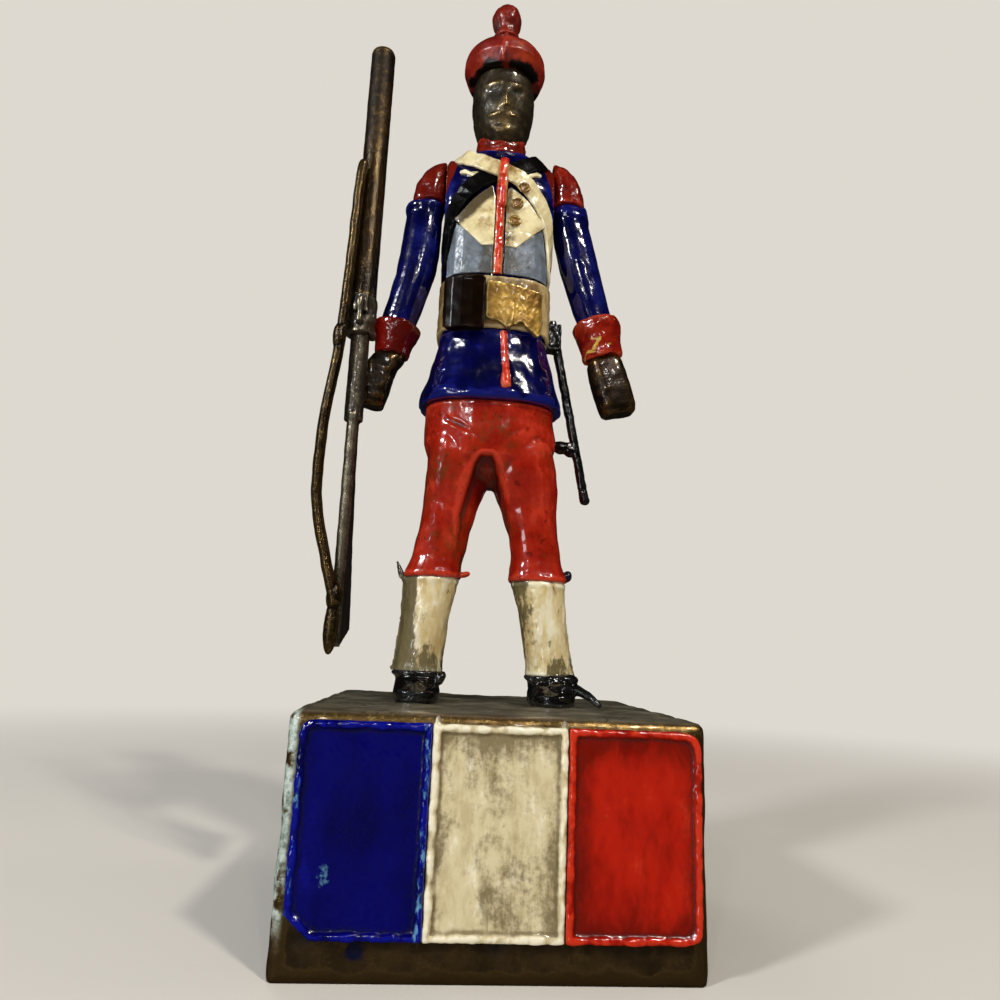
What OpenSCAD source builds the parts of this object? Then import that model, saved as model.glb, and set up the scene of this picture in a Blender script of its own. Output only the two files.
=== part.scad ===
// Toy soldier on a flag plinth: a cast figure put together from separately made and painted pieces.
// Millimetres, +Z up. Origin at the middle of the plinth's underside; the figure faces -Y.
// Left and right are the figure's own sides: side -1 is its right (rifle) side, side +1 its left.

/* [Plinth] */
// Width of the plinth across its front
plinth_w = 50; // [46:1:60]
// Depth of the plinth from front to back
plinth_d = 50; // [40:1:60]
// Height of the plinth
plinth_h = 29; // [24:1:36]
// Thickness of the plinth's walls; the box is open underneath
plinth_wall = 3; // [2:0.5:4]
// Radius of the plinth's rounded edges
plinth_round = 1.2; // [0.8:0.1:2]

/* [Flag panels] */
// Bare metal at each side of the three panels
flag_side = 1; // [0.8:0.1:3]
// Bare metal above the panels
flag_top = 1; // [0.8:0.1:3]
// Bare metal below the panels
flag_bottom = 4.6; // [2:0.2:7]
// Thickness of a panel's plate
panel_t = 0.7; // [0.4:0.1:1]
// Radius of the half-round bead along a panel's edge
bead_r = 0.65; // [0.5:0.05:0.9]

/* [Stance] */
// Figure's middle, left of the plinth's middle when negative
figure_x = -1.8; // [-4:0.2:4]
// Right foot, out from the figure's middle
right_foot_out = 9.5; // [8:0.5:11]
// Left foot, out from the figure's middle
left_foot_out = 11.8; // [10:0.5:14]
// Each leg, out from the figure's middle at the crotch
hip_out = 6.3; // [5.5:0.1:7]

/* [Shoes and gaiters] */
// Height of a shoe
shoe_h = 4.4; // [3.6:0.2:6]
// Width of a shoe
shoe_w = 6.8; // [6:0.2:8]
// Length of a shoe
shoe_l = 11.6; // [10:0.2:14]
// Height of a gaiter, shoe to knee
gaiter_h = 14; // [11:0.5:18]
// Width of a gaiter at its top
gaiter_w = 8.3; // [7.4:0.1:9]
// Ridge of the gaiter's outer flap
gaiter_ridge = 0.5; // [0.2:0.1:1.5]
// Diameter of the leg pins
leg_pin_d = 2; // [1.6:0.1:2.6]

/* [Trousers and skirt] */
// Height of the legs, knee to crotch
thigh_h = 15; // [12:0.5:19]
// Width of a trouser leg at the knee
knee_w = 8.7; // [8:0.1:9.5]
// Height of the hips, crotch to coat hem
hip_h = 12.4; // [10:0.2:16]
// Width of the hips
hips_w = 20.8; // [19:0.2:22]
// Depth of the hips
hips_d = 14.2; // [12:0.2:15]
// Height of the coat skirt, hem to waist
skirt_h = 12; // [9:0.2:15]
// Width of the coat at its hem
hem_w = 22.8; // [22.2:0.2:25]
// Depth of the coat at its hem
hem_d = 16.4; // [15.4:0.2:18]

/* [Torso] */
// Height of the torso, waist to neck
torso_h = 33.5; // [30:0.5:38]
// Width of the torso at the chest
chest_w = 17.6; // [16:0.2:19]
// Depth of the torso at the chest
chest_d = 12.8; // [11:0.2:15]
// Diameter of the waist dowel
waist_dowel_d = 4; // [3:0.2:5]

/* [Uniform] */
// Width of the two crossbelts
strap_w = 3; // [2.4:0.1:3.4]
// Thickness of the two crossbelts
strap_t = 0.55; // [0.4:0.05:0.6]
// Thickness of the waistcoat panels
waistcoat_t = 0.35; // [0.25:0.05:0.5]
// Thickness of the lapels
lapel_t = 0.6; // [0.4:0.05:0.9]
// Width of the red piping cord
piping_w = 1.4; // [1:0.1:1.6]
// Height of the waist belt
belt_h = 9; // [7:0.2:9.4]
// Thickness of the waist belt
belt_t = 0.7; // [0.4:0.05:0.8]
// Thickness of the cartridge pouch in front of the belt
pouch_t = 1.7; // [1:0.1:2.5]
// Thickness of the buckle plates
buckle_t = 0.9; // [0.6:0.1:1.4]
// Diameter of the buttons
button_d = 2; // [1.4:0.1:2.4]
// Height of the collar
collar_h = 3.2; // [2.4:0.1:4]
// Width of the collar at its foot
collar_d = 8.8; // [8:0.1:9.4]

/* [Head and hat] */
// Height of the face, chin to hat
head_h = 13.5; // [12:0.5:16]
// Width of the head
head_w = 11; // [10:0.2:11.6]
// Depth of the head
head_d = 12; // [11:0.2:13]
// Height of the hat, rim to top
hat_h = 9.8; // [8.6:0.2:12]
// Widest diameter of the hat
hat_d = 14.6; // [13.4:0.2:17]
// How far the hat sits forward on the head
hat_forward = 0.6; // [0.2:0.1:0.8]
// Height of the pompom above the hat
pompom_h = 8; // [6:0.2:10]
// Diameter of the pompom
pompom_d = 5.5; // [4:0.1:7]

/* [Arms] */
// Arm axis, out from the side of the chest
arm_out = 3.3; // [3.2:0.1:3.8]
// Right shoulder rivet, up from the waist
right_shoulder_up = 28.6; // [27.5:0.1:29.5]
// Left shoulder rivet, up from the waist
left_shoulder_up = 30; // [28.5:0.1:30.4]
// Angle at which the right arm stands out
right_splay = 8; // [6:0.5:10]
// Angle at which the left arm stands out
left_splay = 12; // [9:0.5:15]
// Sleeve's end, down the arm from the rivet
sleeve_end = 26.4; // [23:0.2:29]
// Width of a sleeve
sleeve_w = 6.3; // [5.6:0.1:6.6]
// Height of a cuff below the sleeve
cuff_h = 5.6; // [4:0.2:7]
// Width of a cuff at its flared top
cuff_d = 8; // [7.6:0.1:8.4]
// Height of a hand
hand_h = 10; // [8:0.2:12]
// Diameter of the shoulder rivets
rivet_d = 2; // [1.6:0.1:2.4]

/* [Rifle and scabbard] */
// Muzzle above the middle of the grip
rifle_above = 60; // [54:1:70]
// Butt's tip below the middle of the grip
rifle_below = 42.4; // [36:0.2:45]
// Diameter of the barrel with its fore-end
barrel_d = 4.1; // [3.6:0.1:4.4]
// Rifle's axis, out from the hand
grip_out = 4.2; // [4:0.1:5]
// Rifle's axis, forward of the arm
grip_forward = 3; // [2.9:0.1:3.6]
// Thickness of the butt's plate
butt_t = 1.5; // [1.1:0.1:2]
// Depth of the butt at its foot
butt_d = 12; // [9:0.5:14]
// Diameter of the sling strip
sling_d = 1.7; // [1.2:0.1:2]
// Length of the scabbard
scabbard_l = 31.5; // [26:0.5:36]
// Diameter of the scabbard
scabbard_d = 1.5; // [1.2:0.1:1.9]

/* [Hidden] */
fit = 0.05;
seat = 0.12;
overrun = 1;
lay_step = 0.1;

// Heights of the seams, from the plinth's underside up
ankle_z = plinth_h + shoe_h;
knee_z = ankle_z + gaiter_h;
crotch_z = knee_z + thigh_h;
hem_z = crotch_z + hip_h;
waist_z = hem_z + skirt_h;
neck_z = waist_z + torso_h;
chin_lift = 1.9;
chin_z = neck_z + chin_lift;
rim_z = chin_z + head_h;
hat_top_z = rim_z + hat_h;

// Leg pins reach through the plinth's top and up into the trousers
pin_tail = 1;
pin_grip = 8;
leg_pin_low = plinth_h - plinth_wall - pin_tail;
leg_pin_high = knee_z + pin_grip;

// Tenon of the trousers in the skirt, and the waist dowel through both
tenon_h = 4;
tenon_inset = 2.2;
dowel_low = hem_z - tenon_h;
dowel_high = waist_z + belt_h;

// Neck, its pin and the plug that carries the hat
neck_r = 3;
neck_pin_r = 1.1;
neck_pin_low = neck_z - belt_h;
neck_pin_high = chin_z + head_h / 2;
plug_r = 4.6;
plug_h = hat_h / 2;
pompom_peg_r = 0.8;
pompom_peg_h = 2;

// The seam plane between torso and arm, clear of the torso's shoulder boss
shoulder_out = chest_w / 2 + arm_out;
boss_r = 1.6;
boss_proud = 0.4;
arm_gap = 0.1;
boss_x = chest_w / 2 + boss_proud;
seam_x = boss_x + arm_gap;
cap_low = 3.8;
cap_high = 4;
rivet_r = rivet_d / 2;
rivet_depth = 4;
rivet_head_r = 1.9;
rivet_head_t = 0.8;
rivet_seat = 1.9;

// Pegs of the arm: sleeve into epaulette, hand through the cuff into the sleeve
spigot_r = 1.5;
spigot_h = 1.9;
wrist_r = 1.4;
wrist_grip = 4.5;
cuff_lap = 1;
hand_top = sleeve_end + cuff_h;

// Rifle in the right hand
right_hand_mid = hand_top + hand_h / 2;
rifle_x = figure_x - shoulder_out - right_hand_mid * sin(right_splay) - grip_out;
rifle_y = -grip_forward;
grip_z = waist_z + right_shoulder_up - right_hand_mid * cos(right_splay);
wrist_stock_r = 1.5;
stock_top = 6.6;
stock_low = 6.6;
lock_h = 6.4;
lock_w = 4.6;
muzzle_r = 0.8;
muzzle_depth = 3;
bead_stock_r = 0.75;
guard_r = 0.5;

// Scabbard beside the left hip, held by the frog on the belt
scabbard_y = 1.5;
scabbard_out = 1.5;
scabbard_top = 5.6;
scabbard_splay = 11.4;
frog_w = 2.6;
frog_h = 4.6;
stay_r = 0.6;

// Colours of the paints and metals
bronze = "#4a3b28";
black = "#1b1a1c";
blue = "#1d2f86";
sky = "#7f93a8";
red = "#b3202a";
cream = "#d9d3c2";
gilt = "#a8873c";
buff = "#a08d6c";
steel = "#8b8d90";

// Forms: rows of [height, half width, half depth] shares of the form's own height, width and depth
hips_shares = [[0, 0.4, 0.4], [0.06, 0.58, 0.62], [0.16, 0.75, 0.8], [0.32, 0.9, 0.93],
    [0.52, 0.99, 0.99], [0.75, 1, 1], [1, 1, 1]];
skirt_shares = [[0, 1, 1], [0.08, 1, 1], [0.3, 0.94, 0.93], [0.6, 0.85, 0.85], [0.85, 0.79, 0.8],
    [1, 0.77, 0.78]];
torso_shares = [[0, 0.965, 0.95], [0.15, 0.955, 0.94], [0.3, 0.965, 0.96], [0.45, 0.985, 0.99],
    [0.6, 1, 1], [0.72, 1, 0.99], [0.82, 0.99, 0.95], [0.89, 0.95, 0.89], [0.95, 0.84, 0.81],
    [0.98, 0.72, 0.75], [1, 0.6, 0.7]];
shoe_shares = [[0, 0.9, 0.94, 0.14], [0.1, 1, 1, 0.14], [0.36, 1, 0.99, 0.14], [0.56, 0.95, 0.86, 0.07],
    [0.72, 0.93, 0.7, 0.01], [0.82, 1, 0.68, -0.01], [0.9, 1.15, 0.73, -0.02], [0.96, 1.17, 0.74, -0.02],
    [1, 1.12, 0.71, -0.02]];
gaiter_shares = [[0, 0.92, 0.94], [0.08, 0.86, 0.88], [0.3, 0.84, 0.86], [0.55, 0.86, 0.92],
    [0.8, 0.91, 0.98], [0.93, 0.97, 1], [0.96, 1.02, 1.03], [1, 1.02, 1.02]];
// Flap of the right and the left gaiter, over the named ridge
flap_shares = [1, 0.5];
leg_shares = [[0, 1.02, 1.02], [0.04, 1.05, 1.05], [0.09, 0.99, 1], [0.2, 0.93, 0.95], [0.5, 0.91, 0.98],
    [0.75, 0.94, 1.08], [0.95, 1.01, 1.26], [1.15, 1.05, 1.4], [1.4, 1.02, 1.44], [1.6, 0.9, 1.3]];
// Flattening of the right thigh's outer side: [up, share of the knee's width]
flat_shares = [[0, 0], [0.1, 0.01], [0.3, 0.05], [0.6, 0.09], [0.95, 0.12], [1.2, 0.12], [1.6, 0.05]];
// Head rows add a forward shift, in shares of the head's depth
head_shares = [[0, 0.36, 0.34, 0.12], [0.07, 0.56, 0.56, 0.09], [0.16, 0.72, 0.72, 0.07],
    [0.3, 0.86, 0.86, 0.04], [0.45, 0.94, 0.93, 0.02], [0.65, 1, 0.98, 0.01], [0.85, 0.99, 0.98, 0],
    [1, 0.94, 0.95, 0]];
// Face relief: [out, up, half width, half height] in shares of the head, then its height over head_d
face_shares = [[0, 0.5, 0.09, 0.13, 0.085], [0, 0.4, 0.13, 0.055, 0.055], [0.2, 0.62, 0.12, 0.06, -0.04],
    [0.2, 0.61, 0.06, 0.035, 0.025], [0.17, 0.74, 0.2, 0.05, 0.035], [0.13, 0.3, 0.14, 0.04, 0.04],
    [0, 0.22, 0.1, 0.025, -0.02], [0, 0.1, 0.2, 0.08, 0.045]];
// Crossbelt loop: [angle round the torso, height share]; 270 is the front, 180 the right side
strap_shares = [[270, 0.83], [252, 0.885], [232, 0.925], [212, 0.952], [196, 0.97], [180, 0.975],
    [164, 0.97], [148, 0.952], [128, 0.915], [110, 0.845], [90, 0.76], [70, 0.675], [50, 0.585],
    [30, 0.48], [14, 0.385], [0, 0.345], [-14, 0.385], [-26, 0.52], [-38, 0.625], [-52, 0.69],
    [-70, 0.76]];
// Front pieces: [out over the half chest, low edge, high edge] in shares of chest and torso height
waistcoat_shares = [[0.105, 0.285, 0.44], [0.2, 0.285, 0.438], [0.34, 0.285, 0.436], [0.5, 0.285, 0.48],
    [0.65, 0.285, 0.522], [0.78, 0.285, 0.555], [0.9, 0.285, 0.52]];
lobe_shares = [[0.105, 0.462, 0.74], [0.2, 0.458, 0.718], [0.32, 0.456, 0.69], [0.45, 0.492, 0.656],
    [0.58, 0.528, 0.62], [0.7, 0.562, 0.592], [0.76, 0.576, 0.586]];
wing_shares = [[0.28, 0.822, 0.832], [0.4, 0.822, 0.856], [0.55, 0.832, 0.87], [0.7, 0.852, 0.876],
    [0.78, 0.858, 0.872]];
pouch_shares = [[-0.78, -0.04, 0.84], [-0.75, -0.08, 0.89], [-0.68, -0.09, 0.9], [-0.55, -0.09, 0.9],
    [-0.4, -0.09, 0.9], [-0.26, -0.08, 0.89], [-0.21, -0.04, 0.84]];
buckle_shares = [[-0.19, 0.16, 0.84], [-0.16, 0.12, 0.86], [0.05, 0.08, 0.84], [0.25, 0.06, 0.82],
    [0.29, 0.08, 0.8]];
tongue_shares = [[0.31, 0.07, 0.8], [0.34, 0.04, 0.8], [0.5, 0, 0.77], [0.68, -0.04, 0.74],
    [0.73, -0.02, 0.71]];
// Upper and lower cord: [out over the half chest, height share]; the lower one runs down the skirt
cord_shares = [[0.05, 0.985], [0.05, 0.95], [0.04, 0.91], [0.03, 0.88], [0.02, 0.85], [0.01, 0.82],
    [0, 0.79], [0, 0.76], [0, 0.73], [-0.01, 0.6], [-0.01, 0.45], [-0.01, 0.285]];
low_cord_shares = [[0.15, 0.96], [0.17, 0.75], [0.2, 0.5], [0.23, 0.3], [0.24, 0.16]];
button_shares = [[0.3, 0.655, 1], [0.26, 0.56, 1], [0.4, 0.735, 0]];
// Hand and epaulette: [down, half width, half depth, shift out] shares
hand_shares = [[0, 0.82, 0.8, 0], [0.08, 0.94, 0.92, 0], [0.3, 1, 1, 0.02], [0.6, 1.02, 1, 0.06],
    [0.85, 1, 0.94, 0.1], [0.96, 0.92, 0.84, 0.1], [1, 0.8, 0.72, 0.1]];
grip_shares = [for (r = hand_shares) [r[0] * 0.94, r[1] * mix(0.96, 0.8, min(1, r[0] * 5)),
    r[2] * 0.9, r[3] + 0.17 * min(1, r[0] * 5)]];
cap_shares = [[0, 0.98, 0.94, 0.02], [0.2, 0.96, 0.96, 0], [0.45, 0.92, 0.98, -0.05],
    [0.65, 0.84, 0.92, -0.14], [0.82, 0.7, 0.8, -0.28], [0.93, 0.54, 0.62, -0.44], [1, 0.36, 0.4, -0.62]];
sleeve_shares = [[0, 1, 1], [0.05, 1.03, 1.03], [0.1, 0.98, 1], [0.3, 1.02, 1.08], [0.5, 1.04, 1.1],
    [0.75, 0.98, 1.04], [0.93, 0.92, 0.96], [1, 0.88, 0.92]];
// Sling off the rifle's axis: [out, forward] over the barrel's diameter, height over the rifle's halves
sling_shares = [[0.3, 0.66, 0.6], [0.4, 0.72, 0.56], [0.52, 0.62, 0.33], [0.66, 0.62, 0.08],
    [0.84, 0.66, -0.06], [1.0, 0.64, -0.2], [1.06, 0.58, -0.42], [0.9, 0.58, -0.55], [0.55, 0.62, -0.68],
    [0.2, 0.65, -0.8], [0.02, 0.66, -0.86]];

// Shared functions
function mix(a, b, t) = a + (b - a) * t;
function unit(v) = v / norm(v);
function super(hw, hd, n, a) = [hw * sign(cos(a)) * pow(abs(cos(a)), 2 / n),
    hd * sign(sin(a)) * pow(abs(sin(a)), 2 / n)];
function share(rows, t, k) = lookup(t, [for (r = rows) [r[0], r[k]]]);

// A form is [foot height, height, width, depth, squareness, shares]
function form_half(f, z, k) = f[k + 1] / 2 * share(f[5], (z - f[0]) / f[1], k);
function form_pt(f, a, z) =
    let (p = super(form_half(f, z, 1), form_half(f, z, 2), f[4], a)) [p.x, p.y, z];
function form_normal(f, a, z) = unit(cross(form_pt(f, a + 2, z) - form_pt(f, a - 2, z),
    form_pt(f, a, z + lay_step) - form_pt(f, a, z - lay_step)));
function form_on(f, a, z, g) = form_pt(f, a, z) + g * form_normal(f, a, z);
function front_angle(f, x, z) =
    360 - acos(sign(x) * pow(min(1, abs(x) / form_half(f, z, 1)), f[4] / 2));
function front_on(f, x, z, g) = form_on(f, front_angle(f, x, z), z, g);
function form_rings(f, count) = [for (r = f[5])
    [for (i = [0:count - 1]) form_pt(f, 360 * i / count, f[0] + f[1] * r[0])]];
function ring(c, hw, hd, n, count) = [for (i = [0:count - 1])
    let (p = super(hw, hd, n, 360 * i / count)) [c.x + p.x, c.y + p.y, c.z]];

hips = [crotch_z, hip_h, hips_w, hips_d, 2.5, hips_shares];
skirt = [hem_z, skirt_h, hem_w, hem_d, 2.6, skirt_shares];
chest = [waist_z, torso_h, chest_w, chest_d, 3, torso_shares];

// Skins a closed solid over rings of points; a loop of rings joins its last ring to its first
module skin(rings, loop = false) {
    n = len(rings[0]);
    m = len(rings);
    last = loop ? m - 1 : m - 2;
    sides = [for (j = [0:last]) for (i = [0:n - 1]) for (t = [0, 1])
        let (a = j * n + i, b = ((j + 1) % m) * n + i, c = ((j + 1) % m) * n + (i + 1) % n,
            d = j * n + (i + 1) % n) t == 0 ? [a, b, c] : [a, c, d]];
    low = [for (i = [1:n - 2]) [0, i, i + 1]];
    high = [for (i = [1:n - 2]) [(m - 1) * n, (m - 1) * n + i + 1, (m - 1) * n + i]];
    polyhedron([for (r = rings) each r], loop ? sides : concat(sides, low, high), convexity = 6);
}

// A round rod from one point to another
module rod(p, q, r) {
    v = q - p;
    translate(p)
        rotate([0, acos(v.z / norm(v)), atan2(v.y, v.x)])
            cylinder(h = norm(v), r = r, $fn = 48);
}

module on_figure() {
    translate([figure_x, 0, 0]) children();
}

// Legs stand on straight axes from hip to foot
function foot_out(s) = s < 0 ? right_foot_out : left_foot_out;
function leg_x(s, z) = figure_x
    + s * mix(hip_out, foot_out(s), (crotch_z - z) / (crotch_z - plinth_h));
function leg_at(s, z) = [leg_x(s, z), 0, z];

module leg_pin(s, grow = 0) {
    rod(leg_at(s, leg_pin_low - grow), leg_at(s, leg_pin_high + grow), leg_pin_d / 2 + grow);
}

module leg_pins() {
    color(steel) for (s = [-1, 1]) leg_pin(s);
}

// Plinth: a hollow box with rounded edges, open underneath
module plinth() {
    px = plinth_w / 2 - plinth_round;
    py = plinth_d / 2 - plinth_round;
    color(bronze) difference() {
        hull() for (x = [-px, px]) for (y = [-py, py]) translate([x, y, 0]) {
            cylinder(r = plinth_round, h = plinth_round, $fn = 32);
            translate([0, 0, plinth_h - plinth_round]) sphere(r = plinth_round, $fn = 32);
        }
        translate([-plinth_w / 2 + plinth_wall, -plinth_d / 2 + plinth_wall, -overrun])
            cube([plinth_w - 2 * plinth_wall, plinth_d - 2 * plinth_wall,
                plinth_h - plinth_wall + overrun]);
        for (s = [-1, 1]) leg_pin(s, fit);
    }
}

// Flag panels: trays with a half-round bead, side by side on the plinth's front
panel_gap = 0.1;
panel_w = (plinth_w - 2 * flag_side - 2 * panel_gap) / 3;
panel_h = plinth_h - flag_top - flag_bottom;
panel_round = 1;
panel_edge = 0.1;

function panel_ring(inset, out) = let (w = panel_w / 2 - inset, h = panel_h / 2 - inset,
    r = max(panel_round - inset, panel_edge)) [for (c = [[1, 1], [-1, 1], [-1, -1], [1, -1]])
    for (i = [0:4]) let (a = atan2(c.y, c.x) - 45 + 90 * i / 4)
    [c.x * (w - r) + r * cos(a), -plinth_d / 2 - out,
        flag_bottom + panel_h / 2 + c.y * (h - r) + r * sin(a)]];

module flag_panel(place, paint) {
    bead = [for (i = [0:6]) let (a = 30 * i)
        panel_ring(panel_edge + bead_r * (1 - cos(a)), panel_t + bead_r * sin(a))];
    color(paint) translate([place * (panel_w + panel_gap), 0, 0])
        skin(concat([panel_ring(0, 0), panel_ring(0, panel_t)], bead));
}

module blue_panel() {
    flag_panel(-1, blue);
}

module white_panel() {
    flag_panel(0, cream);
}

module red_panel() {
    flag_panel(1, red);
}

// Shoes: low, round-toed, with a rim that takes the gaiter
module shoe(s) {
    rings = [for (r = shoe_shares) ring([leg_x(s, ankle_z), -r[3] * shoe_l, plinth_h + r[0] * shoe_h],
        r[1] * shoe_w / 2, r[2] * shoe_l / 2, 2.5, 28)];
    color(black) difference() {
        skin(rings);
        leg_pin(s, fit);
    }
}

module right_shoe() {
    shoe(-1);
}

module left_shoe() {
    shoe(1);
}

// Gaiters: tapered tubes whose outer flap stands up as a ridge
module gaiter(s) {
    flap = gaiter_ridge * flap_shares[s < 0 ? 0 : 1];
    seam = s < 0 ? 180 : 0;
    angles = [for (a = [0:15:345]) each (a == seam ? [a - 2, a, a + 2] : [a])];
    rings = [for (r = gaiter_shares) let (c = leg_at(s, ankle_z + r[0] * gaiter_h)) [for (a = angles)
        let (p = super(r[1] * gaiter_w / 2, r[2] * gaiter_w / 2, 2.2, a))
        [c.x + p.x + (a == seam ? s * flap : 0), p.y, c.z]]];
    color(cream) difference() {
        skin(rings);
        leg_pin(s, fit);
    }
}

module right_gaiter() {
    gaiter(-1);
}

module left_gaiter() {
    gaiter(1);
}

// Trousers: two legs with turned knee rims grow into the hips, a tenon on top takes the skirt
function tenon_ring(z, grow) = ring([0, 0, z], hips_w / 2 - tenon_inset + grow,
    hips_d / 2 - tenon_inset + grow, 2.5, 32);

module waist_peg(grow = 0) {
    translate([figure_x, 0, dowel_low - grow])
        cylinder(h = dowel_high - dowel_low + 2 * grow, d = waist_dowel_d + 2 * grow, $fn = 64);
}

module waist_dowel() {
    color(steel) waist_peg();
}

module trousers() {
    color(red) difference() {
        union() {
            on_figure() skin(concat(form_rings(hips, 32),
                [tenon_ring(hem_z, 0), tenon_ring(hem_z + tenon_h, 0)]));
            for (s = [-1, 1])
                skin([for (r = leg_shares) let (flat = s < 0 ? share(flat_shares, r[0], 1) * knee_w / 2 : 0)
                    ring(leg_at(s, knee_z + r[0] * thigh_h) + [flat, 0, 0],
                        r[1] * knee_w / 2 - flat, r[2] * knee_w / 2, 2.8, 24)]);
        }
        for (s = [-1, 1]) leg_pin(s, fit);
        waist_peg(fit);
    }
}

// Coat skirt: a flared form with a pocket for the tenon
module coat_skirt() {
    color(blue) difference() {
        on_figure() skin(concat([tenon_ring(hem_z + tenon_h + fit, fit), tenon_ring(hem_z, fit)],
            form_rings(skirt, 32)));
        waist_peg(fit);
    }
}

// Torso: the jacket, with a boss at each shoulder for the arm
function shoulder_up(s) = s < 0 ? right_shoulder_up : left_shoulder_up;
function shoulder_z(s) = waist_z + shoulder_up(s);

module rivet(s, grow = 0) {
    start = boss_x - rivet_depth - grow;
    translate([figure_x, 0, shoulder_z(s)]) rotate([0, s * 90, 0]) translate([0, 0, start])
        cylinder(h = shoulder_out + rivet_seat - start, r = rivet_r + grow, $fn = 48);
}

module neck_peg(grow = 0) {
    translate([figure_x, 0, neck_pin_low - grow])
        cylinder(h = neck_pin_high - neck_pin_low + 2 * grow, r = neck_pin_r + grow, $fn = 48);
}

module torso() {
    color(blue) difference() {
        union() {
            on_figure() skin(form_rings(chest, 36));
            for (s = [-1, 1]) translate([figure_x, 0, shoulder_z(s)]) rotate([0, s * 90, 0])
                translate([0, 0, boss_x - rivet_depth]) cylinder(h = rivet_depth, r = boss_r, $fn = 64);
        }
        for (s = [-1, 1]) rivet(s, fit);
        neck_peg(fit);
        waist_peg(fit);
    }
}

// Plates laid on the torso's front: columns of [across, low, high], from lay to lay + thickness
module laid(columns, lay, t) {
    on_figure() skin([for (c = columns) concat(
        [for (k = [0:2]) front_on(chest, c[0], mix(c[1], c[2], k / 2), lay)],
        [for (k = [2:-1:0]) front_on(chest, c[0], mix(c[1], c[2], k / 2), lay + t)])]);
}

function front_columns(rows, s) = [for (i = [0:len(rows) - 1])
    let (r = rows[s > 0 ? i : len(rows) - 1 - i])
    [s * r[0] * chest_w / 2, waist_z + r[1] * torso_h, waist_z + r[2] * torso_h]];

// Crossbelts: loops from shoulder to opposite hip; the white one rides over the black one
function strap_at(t) = let (n = len(strap_shares), i = floor(t) % n, j = (i + 1) % n,
    p = strap_shares[i], q = strap_shares[j] - (j == 0 ? [360, 0] : [0, 0])) mix(p, q, t - floor(t));
function strap_place(t, s) = let (p = strap_at(t))
    [s < 0 ? p[0] : 180 - p[0], waist_z + p[1] * torso_h];
function near_cross(a) = max(0, 1 - pow(abs(cos(a)) / 0.42, 4));

module crossbelt(s, ride, grow = 0) {
    n = len(strap_shares);
    steps = 2 * n;
    rings = [for (i = [0:steps - 1]) let (p = strap_place(i * n / steps, s),
        before = strap_place((i * n / steps + n - 0.25) % n, s),
        after = strap_place((i * n / steps + 0.25) % n, s),
        c = form_pt(chest, p[0], p[1]), up = form_normal(chest, p[0], p[1]),
        along = unit(form_pt(chest, after[0], after[1]) - form_pt(chest, before[0], before[1])),
        b = unit(cross(along, up)) * (strap_w / 2 + grow), lay = seat + ride * near_cross(p[0]),
        low = c + (lay - grow) * up, high = c + (lay + strap_t + grow) * up)
        [low - b, high - b, high + b, low + b]];
    on_figure() skin(rings, loop = true);
}

over_strap = strap_t + seat;

module white_crossbelt() {
    color(cream) crossbelt(-1, over_strap);
}

module black_crossbelt() {
    color(black) crossbelt(1, 0);
}

// Waistcoat panels and lapels, trimmed to leave the crossbelts their room
module beside_straps() {
    difference() {
        children();
        crossbelt(-1, over_strap, seat);
        crossbelt(1, 0, seat);
    }
}

module waistcoat_panels() {
    color(sky) beside_straps()
        for (s = [-1, 1]) laid(front_columns(waistcoat_shares, s), seat, waistcoat_t);
}

module lapels() {
    color(cream) beside_straps() for (s = [-1, 1]) {
        laid(front_columns(lobe_shares, s), seat, lapel_t);
        laid(front_columns(wing_shares, s), seat, lapel_t);
    }
}

// Piping: a half-round cord down the front, over the crossbelts, and its tail down the skirt
function cord_rings(f, path, w, lift) = [for (i = [0:len(path) - 1]) let (p = path[i],
    x = p[0] * chest_w / 2, z = f[0] + p[1] * f[1], lay = seat + lift * p[2])
    concat([for (k = [0:4]) front_on(f, x - w * cos(45 * k) / 2, z, lay + w * sin(45 * k) / 2)],
        [front_on(f, x + w / 4, z, lay), front_on(f, x - w / 4, z, lay)])];

module front_piping() {
    over = 2 * over_strap;
    upper = [for (p = cord_shares) [p[0], p[1], min(1, max(0, 2.4 - abs(p[1] - 0.83) / 0.035))]];
    lower = [for (p = low_cord_shares) [p[0], p[1], 0]];
    color(red) on_figure() {
        skin(cord_rings(chest, upper, piping_w, over));
        skin(cord_rings(skirt, lower, piping_w, 0));
    }
}

// Buttons: small domes with a flat back, on the left lapel and on the white crossbelt
button_t = 0.5;
button_sit = 0.15;

module buttons() {
    color(gilt) on_figure() for (b = button_shares) {
        z = waist_z + b[1] * torso_h;
        a = front_angle(chest, b[0] * chest_w / 2, z);
        under = b[2] > 0 ? lapel_t : strap_t + over_strap * near_cross(a);
        p = form_on(chest, a, z, seat + under + button_sit);
        up = form_normal(chest, a, z);
        translate(p) rotate([0, acos(up.z), atan2(up.y, up.x)]) rotate_extrude($fn = 48)
            polygon([[0, 0], [button_d / 2, 0], [button_d / 2, button_t / 2], [button_d / 3, button_t],
                [button_d / 5, button_t / 2], [0, button_t / 2]]);
    }
}

// Waist belt, and the pouch and the two buckle plates on it
module waist_belt() {
    low = waist_z + seat;
    high = waist_z + belt_h;
    rings = [for (i = [0:39]) let (a = 360 * i / 40) [form_on(chest, a, low, seat),
        form_on(chest, a, high, seat), form_on(chest, a, high, seat + belt_t),
        form_on(chest, a, low, seat + belt_t)]];
    color(buff) on_figure() skin(rings, loop = true);
}

function belt_columns(rows) = [for (r = rows)
    [r[0] * chest_w / 2, waist_z + r[1] * belt_h, waist_z + r[2] * belt_h]];

module cartridge_pouch() {
    color(black) laid(belt_columns(pouch_shares), 2 * seat + belt_t, pouch_t);
}

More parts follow.
